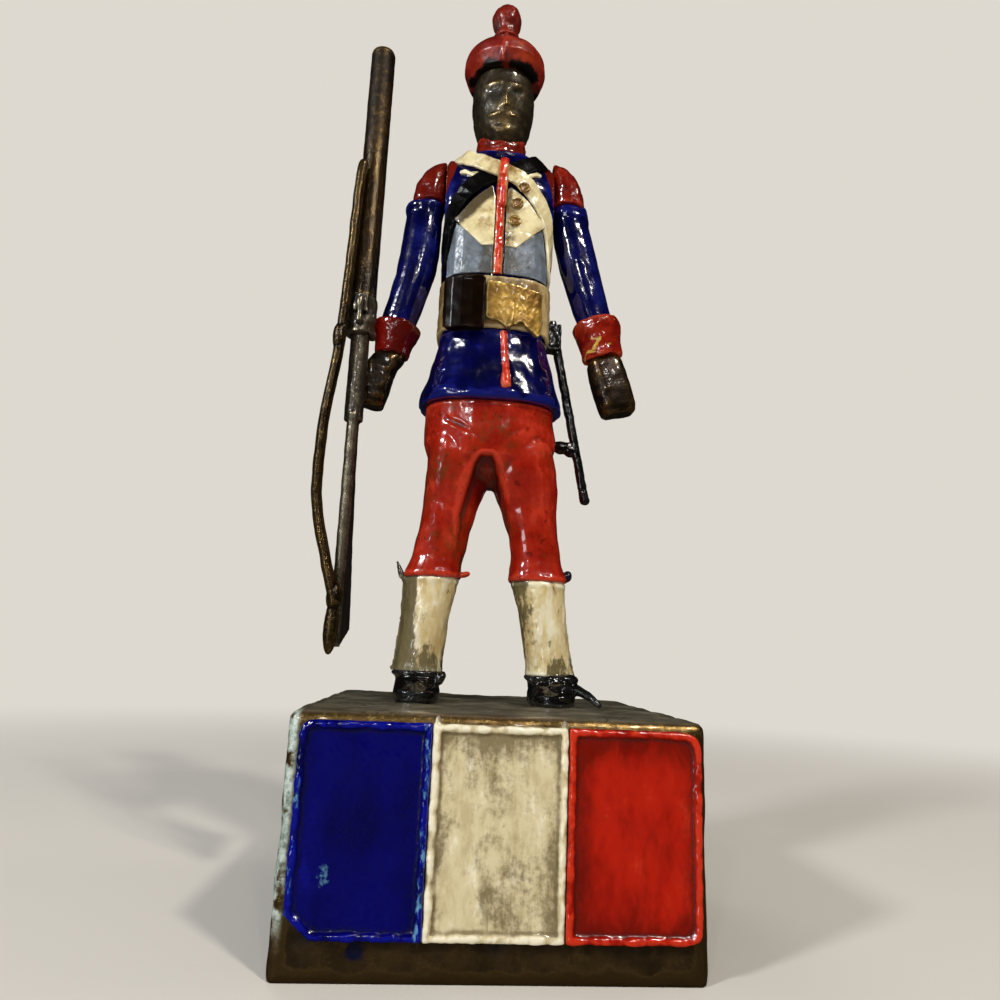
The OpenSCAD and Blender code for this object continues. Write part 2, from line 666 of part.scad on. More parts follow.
module belt_buckle() {
    color(gilt) {
        laid(belt_columns(buckle_shares), 2 * seat + belt_t, buckle_t);
        laid(belt_columns(tongue_shares), 2 * seat + belt_t, buckle_t);
    }
}

// Collar: a flared ring round the neck
module collar() {
    in = neck_r + fit;
    out = collar_d / 2;
    color(red) on_figure() difference() {
        translate([0, 0, neck_z]) rotate_extrude($fn = 96)
            polygon([[in, 0], [out, 0], [out, collar_h / 6], [out * 0.9, collar_h / 2],
                [out * 0.92, collar_h], [out * 0.86, collar_h], [in, collar_h * 0.8]]);
        skin(head_rings(seat));
    }
}

module neck_pin() {
    color(steel) neck_peg();
}

// Head: an egg-shaped face in low relief, a neck below and a plug above
function face_push(x, z) = let (v = [for (r = face_shares)
    r[4] * exp(-pow((abs(x) / head_w - r[0]) / r[2], 2) - pow(((z - chin_z) / head_h - r[1]) / r[3], 2))])
    head_d * (v * [for (r = v) 1]);

function head_rings(grow) = [for (j = [0:20]) let (t = j / 20, z = chin_z + t * head_h,
    y = -share(head_shares, t, 3) * head_d) [for (i = [0:39])
    let (a = 9 * i, hw = share(head_shares, t, 1) * head_w / 2 + grow,
        hd = share(head_shares, t, 2) * head_d / 2 + grow,
        p = super(hw, hd, 2.2, a), push = face_push(p.x, z) * max(0, -sin(a)))
    [p.x, y + p.y - push, j > 0 ? z : z - grow]]];

module head() {
    color(bronze) difference() {
        on_figure() union() {
            skin(head_rings(0));
            translate([0, 0, neck_z]) cylinder(h = chin_lift + head_h / 4, r = neck_r, $fn = 64);
            translate([0, 0, rim_z - head_h / 4]) cylinder(h = head_h / 4 + plug_h, r = plug_r, $fn = 96);
        }
        neck_peg(fit);
    }
}

// Hat: a soft cap that swells above its rim, with a socket for the head's plug
hat_rim_share = 0.81;

module hat() {
    r = hat_d / 2;
    socket = plug_r + fit;
    color(red) difference() {
        translate([figure_x, -hat_forward, rim_z]) rotate_extrude($fn = 96)
            polygon([[0, 0], [r * hat_rim_share, 0], [r * 0.86, hat_h * 0.08], [r * 0.94, hat_h * 0.25],
                [r * 0.99, hat_h * 0.4], [r, hat_h * 0.47], [r * 0.98, hat_h * 0.54],
                [r * 0.9, hat_h * 0.64], [r * 0.76, hat_h * 0.75], [r * 0.56, hat_h * 0.86],
                [r * 0.36, hat_h * 0.95], [0, hat_h]]);
        translate([figure_x, 0, rim_z - overrun])
            cylinder(h = plug_h + fit + overrun, r = socket, $fn = 96);
        translate([figure_x, -hat_forward, hat_top_z - pompom_peg_h - fit])
            cylinder(h = pompom_peg_h + overrun, r = pompom_peg_r + fit, $fn = 48);
    }
}

// Pompom: a pointed ovoid on a thin foot, with a peg
module pompom() {
    r = pompom_d / 2;
    color(red) translate([figure_x, -hat_forward, hat_top_z]) rotate_extrude($fn = 96)
        polygon([[0, -pompom_peg_h], [pompom_peg_r, -pompom_peg_h], [pompom_peg_r, 0], [r * 0.9, 0],
            [r * 0.84, pompom_h * 0.1], [r * 0.72, pompom_h * 0.2], [r * 0.76, pompom_h * 0.28],
            [r * 0.92, pompom_h * 0.4], [r, pompom_h * 0.54], [r * 0.96, pompom_h * 0.66],
            [r * 0.82, pompom_h * 0.77], [r * 0.58, pompom_h * 0.88], [r * 0.3, pompom_h * 0.96],
            [0, pompom_h]]);
}

// Scabbard: a thin rod through the frog, with a stay to the hip
scabbard_z = waist_z + scabbard_top;
scabbard_x = form_half(chest, waist_z, 1) + seat + belt_t + scabbard_out - scabbard_d / 2;

function scabbard_at(d) = [scabbard_x + d * sin(scabbard_splay), scabbard_y,
    scabbard_z - d * cos(scabbard_splay)];

module scabbard_rod(grow = 0) {
    rod(scabbard_at(scabbard_l + grow), scabbard_at(-grow), scabbard_d / 2 + grow);
}

module scabbard() {
    stay_z = mix(crotch_z, hem_z, 0.66);
    d = (scabbard_z - stay_z) / cos(scabbard_splay);
    hip_x = form_half(hips, stay_z, 1);
    color(black) on_figure() {
        scabbard_rod();
        translate(scabbard_at(scabbard_l)) sphere(r = scabbard_d * 0.55, $fn = 32);
        rod([hip_x + seat, scabbard_y, stay_z], [scabbard_at(d).x, scabbard_y, stay_z], stay_r);
    }
}

module scabbard_frog() {
    from = form_half(chest, waist_z + belt_h / 2, 1) + 2 * seat + belt_t;
    color(black) on_figure() difference() {
        translate([from, scabbard_y - frog_w / 2, waist_z + seat])
            cube([scabbard_out + scabbard_d / 2, frog_w, frog_h]);
        scabbard_rod(fit);
    }
}

// Shoulder rivets: pins in the torso whose heads keep the arms on
module shoulder_rivets() {
    color(bronze) for (s = [-1, 1]) union() {
        rivet(s);
        translate([figure_x, 0, shoulder_z(s)]) rotate([0, s * 90, 0])
            translate([0, 0, shoulder_out + rivet_seat]) rotate_extrude($fn = 48)
                polygon([[0, 0], [rivet_head_r, 0], [rivet_head_r, rivet_head_t / 3],
                    [rivet_head_r * 0.8, rivet_head_t * 0.75], [rivet_head_r * 0.4, rivet_head_t],
                    [0, rivet_head_t]]);
    }
}

// Arms: the epaulette turns on the rivet, and the sleeve, cuff and hand follow the splayed arm axis
function splay(s) = s < 0 ? right_splay : left_splay;

module on_shoulder(s) {
    translate([figure_x + s * shoulder_out, 0, shoulder_z(s)]) children();
}

module on_arm(s) {
    on_shoulder(s) rotate([0, -s * splay(s), 0]) children();
}

module epaulette(s) {
    hw = shoulder_out - seam_x;
    low = cap_low + overrun;
    rings = [for (r = cap_shares) ring([s * r[3] * hw, 0, mix(-low, cap_high, r[0])],
        r[1] * hw + arm_gap, r[2] * sleeve_w * 0.62, 3, 28)];
    wide = 4 * sleeve_w;
    color(red) difference() {
        on_shoulder(s) skin(rings);
        on_arm(s) translate([-wide / 2, -wide / 2, -cap_low - wide]) cube([wide, wide, wide]);
        on_shoulder(s) translate([s < 0 ? hw : -hw - wide, -wide / 2, -wide / 2]) cube([wide, wide, wide]);
        rivet(s, fit);
        on_shoulder(s) rotate([0, s * 90, 0]) translate([0, 0, rivet_seat - fit])
            cylinder(h = wide, r = rivet_head_r + fit, $fn = 48);
        on_arm(s) translate([0, 0, -cap_low - overrun])
            cylinder(h = overrun + spigot_h + fit, r = spigot_r + fit, $fn = 48);
    }
}

module right_epaulette() {
    epaulette(-1);
}

module left_epaulette() {
    epaulette(1);
}

module sleeve(s) {
    l = sleeve_end - cap_low;
    rings = [for (i = [len(sleeve_shares) - 1:-1:0]) let (r = sleeve_shares[i])
        ring([0, 0, -cap_low - r[0] * l], r[1] * sleeve_w / 2, r[2] * sleeve_w / 2, 2.3, 24)];
    color(blue) on_arm(s) difference() {
        union() {
            skin(rings);
            translate([0, 0, -cap_low - overrun]) cylinder(h = spigot_h + overrun, r = spigot_r, $fn = 48);
        }
        translate([0, 0, -sleeve_end - overrun])
            cylinder(h = wrist_grip + fit + overrun, r = wrist_r + fit, $fn = 48);
    }
}

module right_sleeve() {
    sleeve(-1);
}

module left_sleeve() {
    sleeve(1);
}

// Cuffs: flared rings over the sleeve's end
module cuff(s) {
    r = cuff_d / 2;
    in = wrist_r + fit;
    over = sleeve_w / 2 * 0.97 + fit;
    color(red) on_arm(s) translate([0, 0, -hand_top]) rotate_extrude($fn = 96)
        polygon([[in, 0], [r * 0.8, 0], [r * 0.84, cuff_h * 0.1], [r * 0.86, cuff_h * 0.45],
            [r * 0.94, cuff_h * 0.7], [r, cuff_h * 0.9], [r, cuff_h + cuff_lap * 0.5],
            [r * 0.94, cuff_h + cuff_lap], [over, cuff_h + cuff_lap], [over, cuff_h], [in, cuff_h]]);
}

module right_cuff() {
    cuff(-1);
}

module left_cuff() {
    cuff(1);
}

// Hands: plain closed hands; the right one has a groove that takes the rifle's round wrist
module wrist_spigot() {
    translate([0, 0, -hand_top - overrun])
        cylinder(h = overrun + cuff_h + wrist_grip, r = wrist_r, $fn = 48);
}

module hand(s, rows) {
    skin([for (i = [len(rows) - 1:-1:0]) let (r = rows[i])
        ring([s * r[3] * sleeve_w, 0, -hand_top - r[0] * hand_h], r[1] * sleeve_w * 0.48,
            r[2] * sleeve_w * 0.42, 3.4, 28)]);
    wrist_spigot();
}

module left_hand() {
    color(bronze) on_arm(1) hand(1, hand_shares);
}

module rifle_rod(low, high, r) {
    translate([rifle_x, rifle_y, grip_z + low]) cylinder(h = high - low, r = r, $fn = 64);
}

module right_hand() {
    color(bronze) difference() {
        on_arm(-1) hand(-1, grip_shares);
        rifle_rod(-hand_h, hand_h, wrist_stock_r + fit);
    }
}

// Rifle: barrel with fore-end, lock with guard, and stock whose round wrist lies in the hand's groove
barrel_low = stock_top + lock_h;

module rifle_barrel() {
    r = barrel_d / 2;
    color(bronze) difference() {
        union() {
            rifle_rod(barrel_low, rifle_above - r * 0.5, r);
            translate([rifle_x, rifle_y, grip_z + rifle_above - r * 0.5]) rotate_extrude($fn = 64)
                polygon([[0, 0], [r, 0], [r * 0.92, r * 0.25], [r * 0.7, r * 0.45], [r * 0.5, r * 0.5],
                    [0, r * 0.5]]);
        }
        rifle_rod(rifle_above - muzzle_depth, rifle_above + overrun, muzzle_r);
        rifle_rod(barrel_low - overrun, barrel_low + lock_h / 2 + fit, wrist_stock_r + fit);
    }
}

module rifle_lock() {
    r = lock_w / 2;
    mid = stock_top + lock_h / 2;
    front = rifle_y - r;
    color(bronze) difference() {
        union() {
            rifle_rod(stock_top, barrel_low, r);
            translate([rifle_x - r / 2, front - guard_r, grip_z + mid]) cube([r, r, lock_h / 2]);
            for (z = [mid - lock_h / 4, mid + lock_h / 4])
                rod([rifle_x, rifle_y, grip_z + z], [rifle_x, front - 2 * guard_r, grip_z + z], guard_r);
            rod([rifle_x, front - 2 * guard_r, grip_z + mid - lock_h / 4 - guard_r],
                [rifle_x, front - 2 * guard_r, grip_z + mid + lock_h / 4 + guard_r], guard_r);
        }
        rifle_rod(stock_top - overrun, barrel_low + overrun, wrist_stock_r + fit);
    }
}

module rifle_stock() {
    rear = wrist_stock_r * 0.8;
    front = wrist_stock_r * 0.5;
    top = -stock_low + overrun;
    color(bronze) union() {
        rifle_rod(-stock_low - overrun, barrel_low + lock_h / 2, wrist_stock_r);
        translate([rifle_x - butt_t / 2, rifle_y, grip_z]) rotate([90, 0, 90]) linear_extrude(butt_t)
            polygon([[-front, top], [rear, top], [rear, -stock_low], [butt_d * 0.22, -rifle_below * 0.36],
                [butt_d * 0.5, -rifle_below * 0.62], [butt_d - front, -rifle_below * 0.93],
                [-front, -rifle_below]]);
        translate([rifle_x, rifle_y - front, grip_z - rifle_below])
            cylinder(h = rifle_below - stock_low, r = bead_stock_r + butt_t * 0.1, $fn = 48);
    }
}

// Sling: a stiff round strip bowed out from the barrel to the butt
function curve(p, t) = let (n = len(p) - 1, i = min(n - 1, floor(t)), u = t - i,
    a = p[max(0, i - 1)], b = p[i], c = p[i + 1], d = p[min(n, i + 2)])
    (2 * b + (c - a) * u + (2 * a - 5 * b + 4 * c - d) * u * u + (3 * b - a - 3 * c + d) * u * u * u) / 2;

module rifle_sling() {
    path = [for (r = sling_shares) [rifle_x - r[0] * barrel_d, rifle_y - r[1] * barrel_d,
        grip_z + r[2] * (r[2] > 0 ? rifle_above : rifle_below)]];
    steps = 4 * (len(path) - 1);
    points = [for (i = [0:steps]) curve(path, i / 4)];
    rings = [for (i = [0:steps]) let (t = unit(points[max(0, i - 1)] - points[min(steps, i + 1)]),
        u = unit(cross([0, 1, 0], t)), v = cross(t, u)) [for (k = [0:9])
        points[i] + sling_d / 2 * (u * cos(36 * k) + v * sin(36 * k))]];
    color(bronze) skin([for (i = [steps:-1:0]) rings[i]]);
}

plinth();
blue_panel();
white_panel();
red_panel();
leg_pins();
right_shoe();
left_shoe();
right_gaiter();
left_gaiter();
trousers();
coat_skirt();
waist_dowel();
torso();
waistcoat_panels();
lapels();
white_crossbelt();
black_crossbelt();
front_piping();
buttons();
waist_belt();
cartridge_pouch();
belt_buckle();
collar();
neck_pin();
head();
hat();
pompom();
scabbard();
scabbard_frog();
shoulder_rivets();
right_epaulette();
right_sleeve();
right_cuff();
right_hand();
left_epaulette();
left_sleeve();
left_cuff();
left_hand();
rifle_barrel();
rifle_lock();
rifle_stock();
rifle_sling();
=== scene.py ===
import math

import bmesh
import bpy
import numpy as np
from mathutils import Matrix, Vector


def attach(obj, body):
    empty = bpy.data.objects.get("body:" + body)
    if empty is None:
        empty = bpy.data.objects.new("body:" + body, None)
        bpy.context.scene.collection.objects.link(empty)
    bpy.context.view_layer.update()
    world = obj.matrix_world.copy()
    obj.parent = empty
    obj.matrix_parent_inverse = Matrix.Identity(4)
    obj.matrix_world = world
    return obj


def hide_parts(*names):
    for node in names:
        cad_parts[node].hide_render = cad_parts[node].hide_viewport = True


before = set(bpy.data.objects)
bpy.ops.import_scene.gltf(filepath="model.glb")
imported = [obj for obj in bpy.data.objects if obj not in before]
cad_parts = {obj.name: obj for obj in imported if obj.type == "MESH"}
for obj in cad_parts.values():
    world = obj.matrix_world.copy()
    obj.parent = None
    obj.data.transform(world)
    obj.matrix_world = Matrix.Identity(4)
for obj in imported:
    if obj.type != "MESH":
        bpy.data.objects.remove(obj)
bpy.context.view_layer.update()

MM = 0.001
ASIDE = 1.8  # millimetres from the figure's middle to the plinth's, along X

# Camera
# A hand-held close-up from low in front of the plinth, with a wide lens, looking up at the figure.
# The view is turned and tilted a little, as the picture is.
yaw, pitch, roll = math.radians(4.16), math.radians(11.77), math.radians(-2.37)
ahead = Vector((math.sin(yaw) * math.cos(pitch), math.cos(yaw) * math.cos(pitch), math.sin(pitch)))
level = Vector((math.cos(yaw), -math.sin(yaw), 0))
down = ahead.cross(level)
right = math.cos(roll) * level + math.sin(roll) * down
down = math.cos(roll) * down - math.sin(roll) * level
camera = bpy.data.cameras.new("camera")
camera.lens, camera.sensor_width = 27.07, 36
camera.clip_start = 0.01
viewer = bpy.data.objects.new("camera", camera)
viewer.matrix_world = Matrix.Translation(Vector((-8.01, -117.54, 35.93)) * MM) @ Matrix(
    (right, -down, -ahead)).transposed().to_4x4()
bpy.context.scene.collection.objects.link(viewer)
bpy.context.scene.camera = viewer
bpy.context.scene.view_settings.view_transform = "Standard"


# Floor and studio light
# A plain pale floor under soft lamps: a cool window on the left, a warm lamp above on the right,
# and small lamps that draw sharp glints on the varnish, as the room's lights do in the picture.
class Tone:
    """A shader socket that can be used in Python sums; each operator adds a Math node."""

    def __init__(self, tree, socket):
        self.tree, self.socket = tree, socket

    def node(self, kind, settings=None, inputs=None, out=0):
        """Any node: its type, its settings, what feeds its sockets, and the output to go on with."""
        made = self.tree.nodes.new(kind)
        for key, value in (settings or {}).items():
            setattr(made, key, value)
        for key, value in (inputs or {}).items():
            if isinstance(value, Tone):
                self.tree.links.new(value.socket, made.inputs[key])
            else:
                made.inputs[key].default_value = value
        return Tone(self.tree, made.outputs[out])

    def maths(self, operation, first, second):
        return self.node("ShaderNodeMath", {"operation": operation}, {0: first, 1: second})

    def __add__(self, other):
        return self.maths("ADD", self, other)

    __radd__ = __add__

    def __mul__(self, other):
        return self.maths("MULTIPLY", self, other)

    __rmul__ = __mul__

    def __sub__(self, other):
        return self.maths("SUBTRACT", self, other)

    def __rsub__(self, other):
        return self.maths("SUBTRACT", other, self)

    def __abs__(self):
        return self.node("ShaderNodeMath", {"operation": "ABSOLUTE"}, {0: self})

    def clamp(self):
        return self.node("ShaderNodeClamp", None, {"Value": self})

    def step(self, low, high):
        """0 below low, 1 above high, eased between."""
        return self.node("ShaderNodeMapRange", {"interpolation_type": "SMOOTHSTEP"},
                         {"Value": self, "From Min": low, "From Max": high})

    def blend(self, under, over):
        """The colour under where this mask is 0, and the colour over where it is 1."""
        return self.node("ShaderNodeMix", {"data_type": "RGBA"}, {0: self, 6: under, 7: over}, 2)

    def noise(self, scale, detail=3.0, rough=0.5, warp=0.0):
        return self.node("ShaderNodeTexNoise", None, {
            "Vector": self, "Scale": scale, "Detail": detail, "Roughness": rough, "Distortion": warp})

    def stretched(self, x, y, z):
        return self.node("ShaderNodeVectorMath", {"operation": "MULTIPLY"}, {0: self, 1: (x, y, z)})

    def distance(self, point):
        return self.node("ShaderNodeVectorMath", {"operation": "DISTANCE"}, {0: self, 1: point}, "Value")

    def axis(self, letter):
        return self.node("ShaderNodeSeparateXYZ", None, {0: self}, letter)

    def mark(self, name):
        """A value that was stored on the piece's own points."""
        return self.node("ShaderNodeAttribute", {"attribute_name": name}, None, "Fac")


def rgb(red, green, blue):
    """A colour of the picture's scale, 0 to 255, as Blender's linear values."""
    return tuple(c / 12.92 if c <= 0.04045 else ((c + 0.055) / 1.055) ** 2.4
                 for c in (red / 255, green / 255, blue / 255)) + (1,)


def fresh(name):
    """An empty material, its shader and its place in the object's own coordinates."""
    material = bpy.data.materials.new(name)
    material.use_nodes = True
    tree = material.node_tree
    shader = tree.nodes["Principled BSDF"]
    return material, shader, Tone(tree, tree.nodes.new("ShaderNodeTexCoord").outputs["Object"])


def feed(shader, name, tone):
    tone.tree.links.new(tone.socket, shader.inputs[name])


def fed(shader, name):
    """What feeds a socket of the shader so far."""
    return Tone(shader.id_data, shader.inputs[name].links[0].from_socket)


def over(shader, mask, colour):
    """Lays a colour over the shader's own where the mask is 1."""
    feed(shader, "Base Color", mask.blend(fed(shader, "Base Color"), colour))


floor_bm = bmesh.new()
bmesh.ops.create_circle(floor_bm, cap_ends=True, segments=96, radius=4)
floor_mesh = bpy.data.meshes.new("floor")
floor_bm.to_mesh(floor_mesh)
floor = bpy.data.objects.new("floor", floor_mesh)
bpy.context.scene.collection.objects.link(floor)
pale, pale_shader, place = fresh("pale floor")
pale_shader.inputs["Roughness"].default_value = 0.9
pale_shader.inputs["Specular IOR Level"].default_value = 0.1
glossy_ray = place.node("ShaderNodeLightPath", None, None, "Is Glossy Ray")
camera_ray = place.node("ShaderNodeLightPath", None, None, "Is Camera Ray")
reach = place.node("ShaderNodeVectorMath", {"operation": "LENGTH"}, {0: place}, "Value")
fade = reach.step(0.10, 0.42) * camera_ray
floor_colour = glossy_ray.blend(rgb(228, 223, 214), rgb(46, 42, 37))
feed(pale_shader, "Base Color", fade.blend(floor_colour, rgb(0, 0, 0)))
feed(pale_shader, "Emission Color", fade.blend(rgb(0, 0, 0), rgb(222, 217, 208)))
pale_shader.inputs["Emission Strength"].default_value = 1.0
floor_mesh.materials.append(pale)

world = bpy.data.worlds.new("studio")
bpy.context.scene.world = world
world.use_nodes = True
back = world.node_tree.nodes["Background"]
rays = world.node_tree.nodes.new("ShaderNodeLightPath")
seen, mirrored = (Tone(world.node_tree, rays.outputs[ray]) for ray in ("Is Camera Ray", "Is Glossy Ray"))
sky = mirrored.blend(rgb(126, 126, 128), rgb(20, 20, 21))
seen.tree.links.new(seen.blend(sky, rgb(222, 217, 208)).socket, back.inputs["Color"])
back.inputs["Strength"].default_value = 1.0


def lamp(name, at, size, power, colour, mirrored=True):
    light = bpy.data.lights.new(name, "AREA")
    light.shape, light.size, light.energy, light.color = "DISK", size, power, colour
    holder = bpy.data.objects.new(name, light)
    holder.location = at
    holder.visible_glossy = mirrored
    holder.rotation_mode = "QUATERNION"
    holder.rotation_quaternion = (Vector((0, 0, 0.075)) - Vector(at)).to_track_quat("-Z", "Y")
    bpy.context.scene.collection.objects.link(holder)


cool, warm, plain = (0.93, 0.97, 1.0), (1.0, 0.93, 0.82), (1.0, 0.98, 0.95)
lamp("window", (-0.42, -0.34, 0.34), 0.075, 1.75, cool)
lamp("warm lamp", (0.26, -0.40, 0.52), 0.06, 1.7, warm)
lamp("side", (0.55, 0.05, 0.20), 0.30, 0.5, warm, False)
lamp("behind", (-0.30, 0.55, 0.50), 0.30, 0.6, plain, False)
lamp("glint left", (-0.20, -0.52, 0.26), 0.025, 0.24, plain)
lamp("glint right", (0.12, -0.55, 0.36), 0.025, 0.24, plain)
lamp("low", (-0.30, -0.45, 0.04), 0.10, 0.2, cool)


# Plinth
# A hollow box cast in bronze, open underneath and left bare: brown and rubbed, with a gilt-looking
# margin above the flag, a pale left corner that is partly worn green patina and partly a painted
# reflection of the cool light, and a grey top with scratches, its grey partly a painted reflection.
def cast(node, voxel, extra=(), soften=2):
    """A copy of a CAD node, joined in one skin with extra meshes, as points that can be worked."""
    bm = bmesh.new()
    bm.from_mesh(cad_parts[node].data)
    bmesh.ops.remove_doubles(bm, verts=bm.verts, dist=1e-6)
    for mesh in extra:
        bm.from_mesh(mesh)
    mesh = bpy.data.meshes.new(node + "_skin")
    bm.to_mesh(mesh)
    bm.free()
    return skinned(node + "_skin", mesh, voxel, soften)


def skinned(name, mesh, voxel, soften=2):
    """One closed skin of even faces over a mesh, with its sharp steps eased."""
    obj = bpy.data.objects.new(name, mesh)
    bpy.context.scene.collection.objects.link(obj)
    skin = obj.modifiers.new("skin", "REMESH")
    skin.mode, skin.voxel_size, skin.use_smooth_shade = "VOXEL", voxel * MM, True
    depsgraph = bpy.context.evaluated_depsgraph_get()
    obj.data = bpy.data.meshes.new_from_object(obj.evaluated_get(depsgraph))
    obj.modifiers.clear()
    bm = bmesh.new()
    bm.from_mesh(obj.data)
    for _ in range(soften):
        bmesh.ops.smooth_vert(bm, verts=bm.verts, factor=0.5, use_axis_x=True, use_axis_y=True, use_axis_z=True)
    bm.to_mesh(obj.data)
    bm.free()
    return obj


def points(obj):
    """A piece's points and their outward directions, in millimetres."""
    count = len(obj.data.vertices)
    at, out = np.empty(count * 3, np.float32), np.empty(count * 3, np.float32)
    obj.data.vertices.foreach_get("co", at)
    obj.data.vertex_normals.foreach_get("vector", out)
    return at.reshape(-1, 3) / MM, out.reshape(-1, 3)


def waves(at, size, seed):
    """Smooth lumps about one high and one deep, each some size millimetres across."""
    rng = np.random.default_rng(seed)
    turn = rng.normal(size=(20, 3))
    turn *= 2 * math.pi / size * rng.uniform(0.5, 1.5, (20, 1)) / np.linalg.norm(turn, axis=1, keepdims=True)
    return np.sin(at @ turn.T + rng.uniform(0, 2 * math.pi, 20)).sum(1) / math.sqrt(10)


def near(at, route, width):
    """1 on a route of points, falling away over its width."""
    best = np.full(len(at), 1e9)
    for a, b in zip(route[:-1], route[1:]):
        a, b = np.array(a, float), np.array(b, float)
        share = np.clip((at - a) @ (b - a) / max((b - a) @ (b - a), 1e-9), 0, 1)
        best = np.minimum(best, np.linalg.norm(at - a - share[:, None] * (b - a), axis=1))
    return np.exp(-(best / width) ** 2)


def put(obj, at):
    obj.data.vertices.foreach_set("co", (at * MM).astype(np.float32).ravel())
    obj.data.update()


def worked(obj, seed, lumps=0.07, size=2.2, fine=0.02):
    """Gives a skin the uneven surface of hand casting under thick paint."""
    at, out = points(obj)
    lift = lumps * waves(at, size, seed) + fine * waves(at, size / 3.5, seed + 1)
    put(obj, at + out * lift[:, None])
    return obj


def creased(obj):
    """Marks on each point how far it lies in a hollow or on an edge, for grime, wear and painted edge
    highlights.
    """
    at, out = points(obj)
    edges = np.empty(len(obj.data.edges) * 2, np.int32)
    obj.data.edges.foreach_get("vertices", edges)
    a, b = edges.reshape(-1, 2).T
    count = np.bincount(np.concatenate((a, b)), minlength=len(at))[:, None]

    def spread(values):
        total = np.zeros_like(values)
        np.add.at(total, a, values[b])
        np.add.at(total, b, values[a])
        return total / np.maximum(count, 1)

    wide = at.copy()
    for _ in range(6):
        wide = spread(wide)
    hollow = ((wide - at) * out).sum(1)[:, None]
    for _ in range(2):
        hollow = spread(hollow)
    mark = obj.data.attributes.new("hollow", "FLOAT", "POINT")
    mark.data.foreach_set("value", (0.5 + hollow[:, 0] * 4).clip(0, 1).astype(np.float32))


def settle(obj, name, material, body, slot, *nodes):
    """Names a finished piece, paints it, gives it to its body and hides the CAD nodes it replaces; slot is not
    used.
    """
    creased(obj)
    obj.name = obj.data.name = name
    obj.data.materials.clear()
    obj.data.materials.append(material)
    obj.data.shade_smooth()
    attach(obj, body)
    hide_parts(*nodes)


def bronze(name, deep, mid, bright, polish=0.35, grain=1.0, streak=(1, 1, 1)):
    """Bare cast bronze: brown patina, dark in its hollows, rubbed to bright metal on its edges."""
    material, shader, place = fresh(name)
    hollow = place.mark("hollow")
    cloud = place.stretched(*streak).noise(240, 5, 0.6)
    grit = place.noise(2600, 3, 0.65)
    colour = cloud.step(0.35, 0.68).blend(deep, mid)
    rub = ((0.5 - hollow) * 2.6 + grit * 0.5 + cloud * 0.55).step(0.62, 1.0)
    colour = rub.blend(colour, bright)
    dirt = ((hollow - 0.5) * 3.4 + grit * 0.25).step(0.22, 0.62)
    colour = dirt.blend(colour, tuple(c * 0.35 for c in deep[:3]) + (1,))
    feed(shader, "Base Color", colour)
    feed(shader, "Metallic", 0.55 + rub * 0.35 - dirt * 0.3)
    feed(shader, "Roughness", polish + 0.16 * grit - 0.10 * rub + 0.2 * dirt)
    height = grit * 0.6 + place.noise(900, 4, 0.6) * 0.8
    feed(shader, "Normal", place.node("ShaderNodeBump", None, {
        "Strength": 0.22 * grain, "Distance": 0.00016, "Height": height}))
    shader.inputs["Coat Weight"].default_value = 0.5
    shader.inputs["Coat Roughness"].default_value = 0.12
    return material, shader, place


plinth = cast("plinth", 0.45, soften=1)
at, out = points(plinth)
lift = 0.06 * waves(at, 7, 11) + 0.02 * waves(at, 2.4, 12)
inside = (np.abs(at[:, 0]) < 22.5) & (np.abs(at[:, 1]) < 22.5) & (at[:, 2] < 26.6)
lift[inside] *= 0.4
lift[at[:, 2] < 0.4] = 0
put(plinth, at + out * lift[:, None])
bare, shader, place = bronze("bare bronze box", rgb(48, 34, 11), rgb(74, 55, 24), rgb(116, 92, 52), 0.34, 2.2)
x, y, z = (place.axis(letter) for letter in "XYZ")
grit = place.noise(1500, 4, 0.7)
# Painted reflection: the top face's grey is partly its own dull tone and partly stands for the pale room
# mirrored in it; the dark lines are scratches.
top = z.step(0.0284, 0.0291)
slab = place.noise(170, 6, 0.62).step(0.3, 0.7).blend(rgb(94, 87, 68), rgb(148, 141, 119))
cracks = place.stretched(0.5, 1, 1).noise(330, 2, 0.5, 1.2) - 0.5
crack = (1 - (cracks * cracks * 900).clamp()).step(0.55, 1.0) * place.noise(90, 2).step(0.45, 0.6)
over(shader, top, crack.blend(slab, rgb(34, 28, 20)))
margin = z.step(0.0270, 0.0276) * (1 - top) * (y * -1).step(0.0235, 0.0246)
over(shader, margin * grit.step(0.52, 0.64), rgb(168, 138, 78))
# The pale left corner is partly worn greenish patina and partly a painted reflection of the cool light.
corner = (x * -1).step(0.0233, 0.0240) * (1 - y.step(-0.0246, -0.0195)) * z.step(0.0025, 0.008)
worn_and_glint = corner * (place.noise(420, 5, 0.7) + place.stretched(1, 1, 0.4).noise(900, 3) * 0.3).step(0.5, 0.66)
mottle = (place.noise(620, 5, 0.7) * 0.7 + grit * 0.5).step(0.44, 0.74)
over(shader, worn_and_glint, mottle.blend(rgb(92, 112, 100), rgb(206, 218, 208)))
paint = (worn_and_glint + top * 0.7).clamp()
feed(shader, "Metallic", fed(shader, "Metallic") * (1 - paint))
spot = place.distance((-0.0153, -0.025, 0.0034)) + 0.0012 * place.noise(900, 2)
over(shader, 1 - spot.step(0.0013, 0.0019), rgb(16, 18, 58))
settle(plinth, "plinth_box", bare, "figure", "bronze", "plinth")


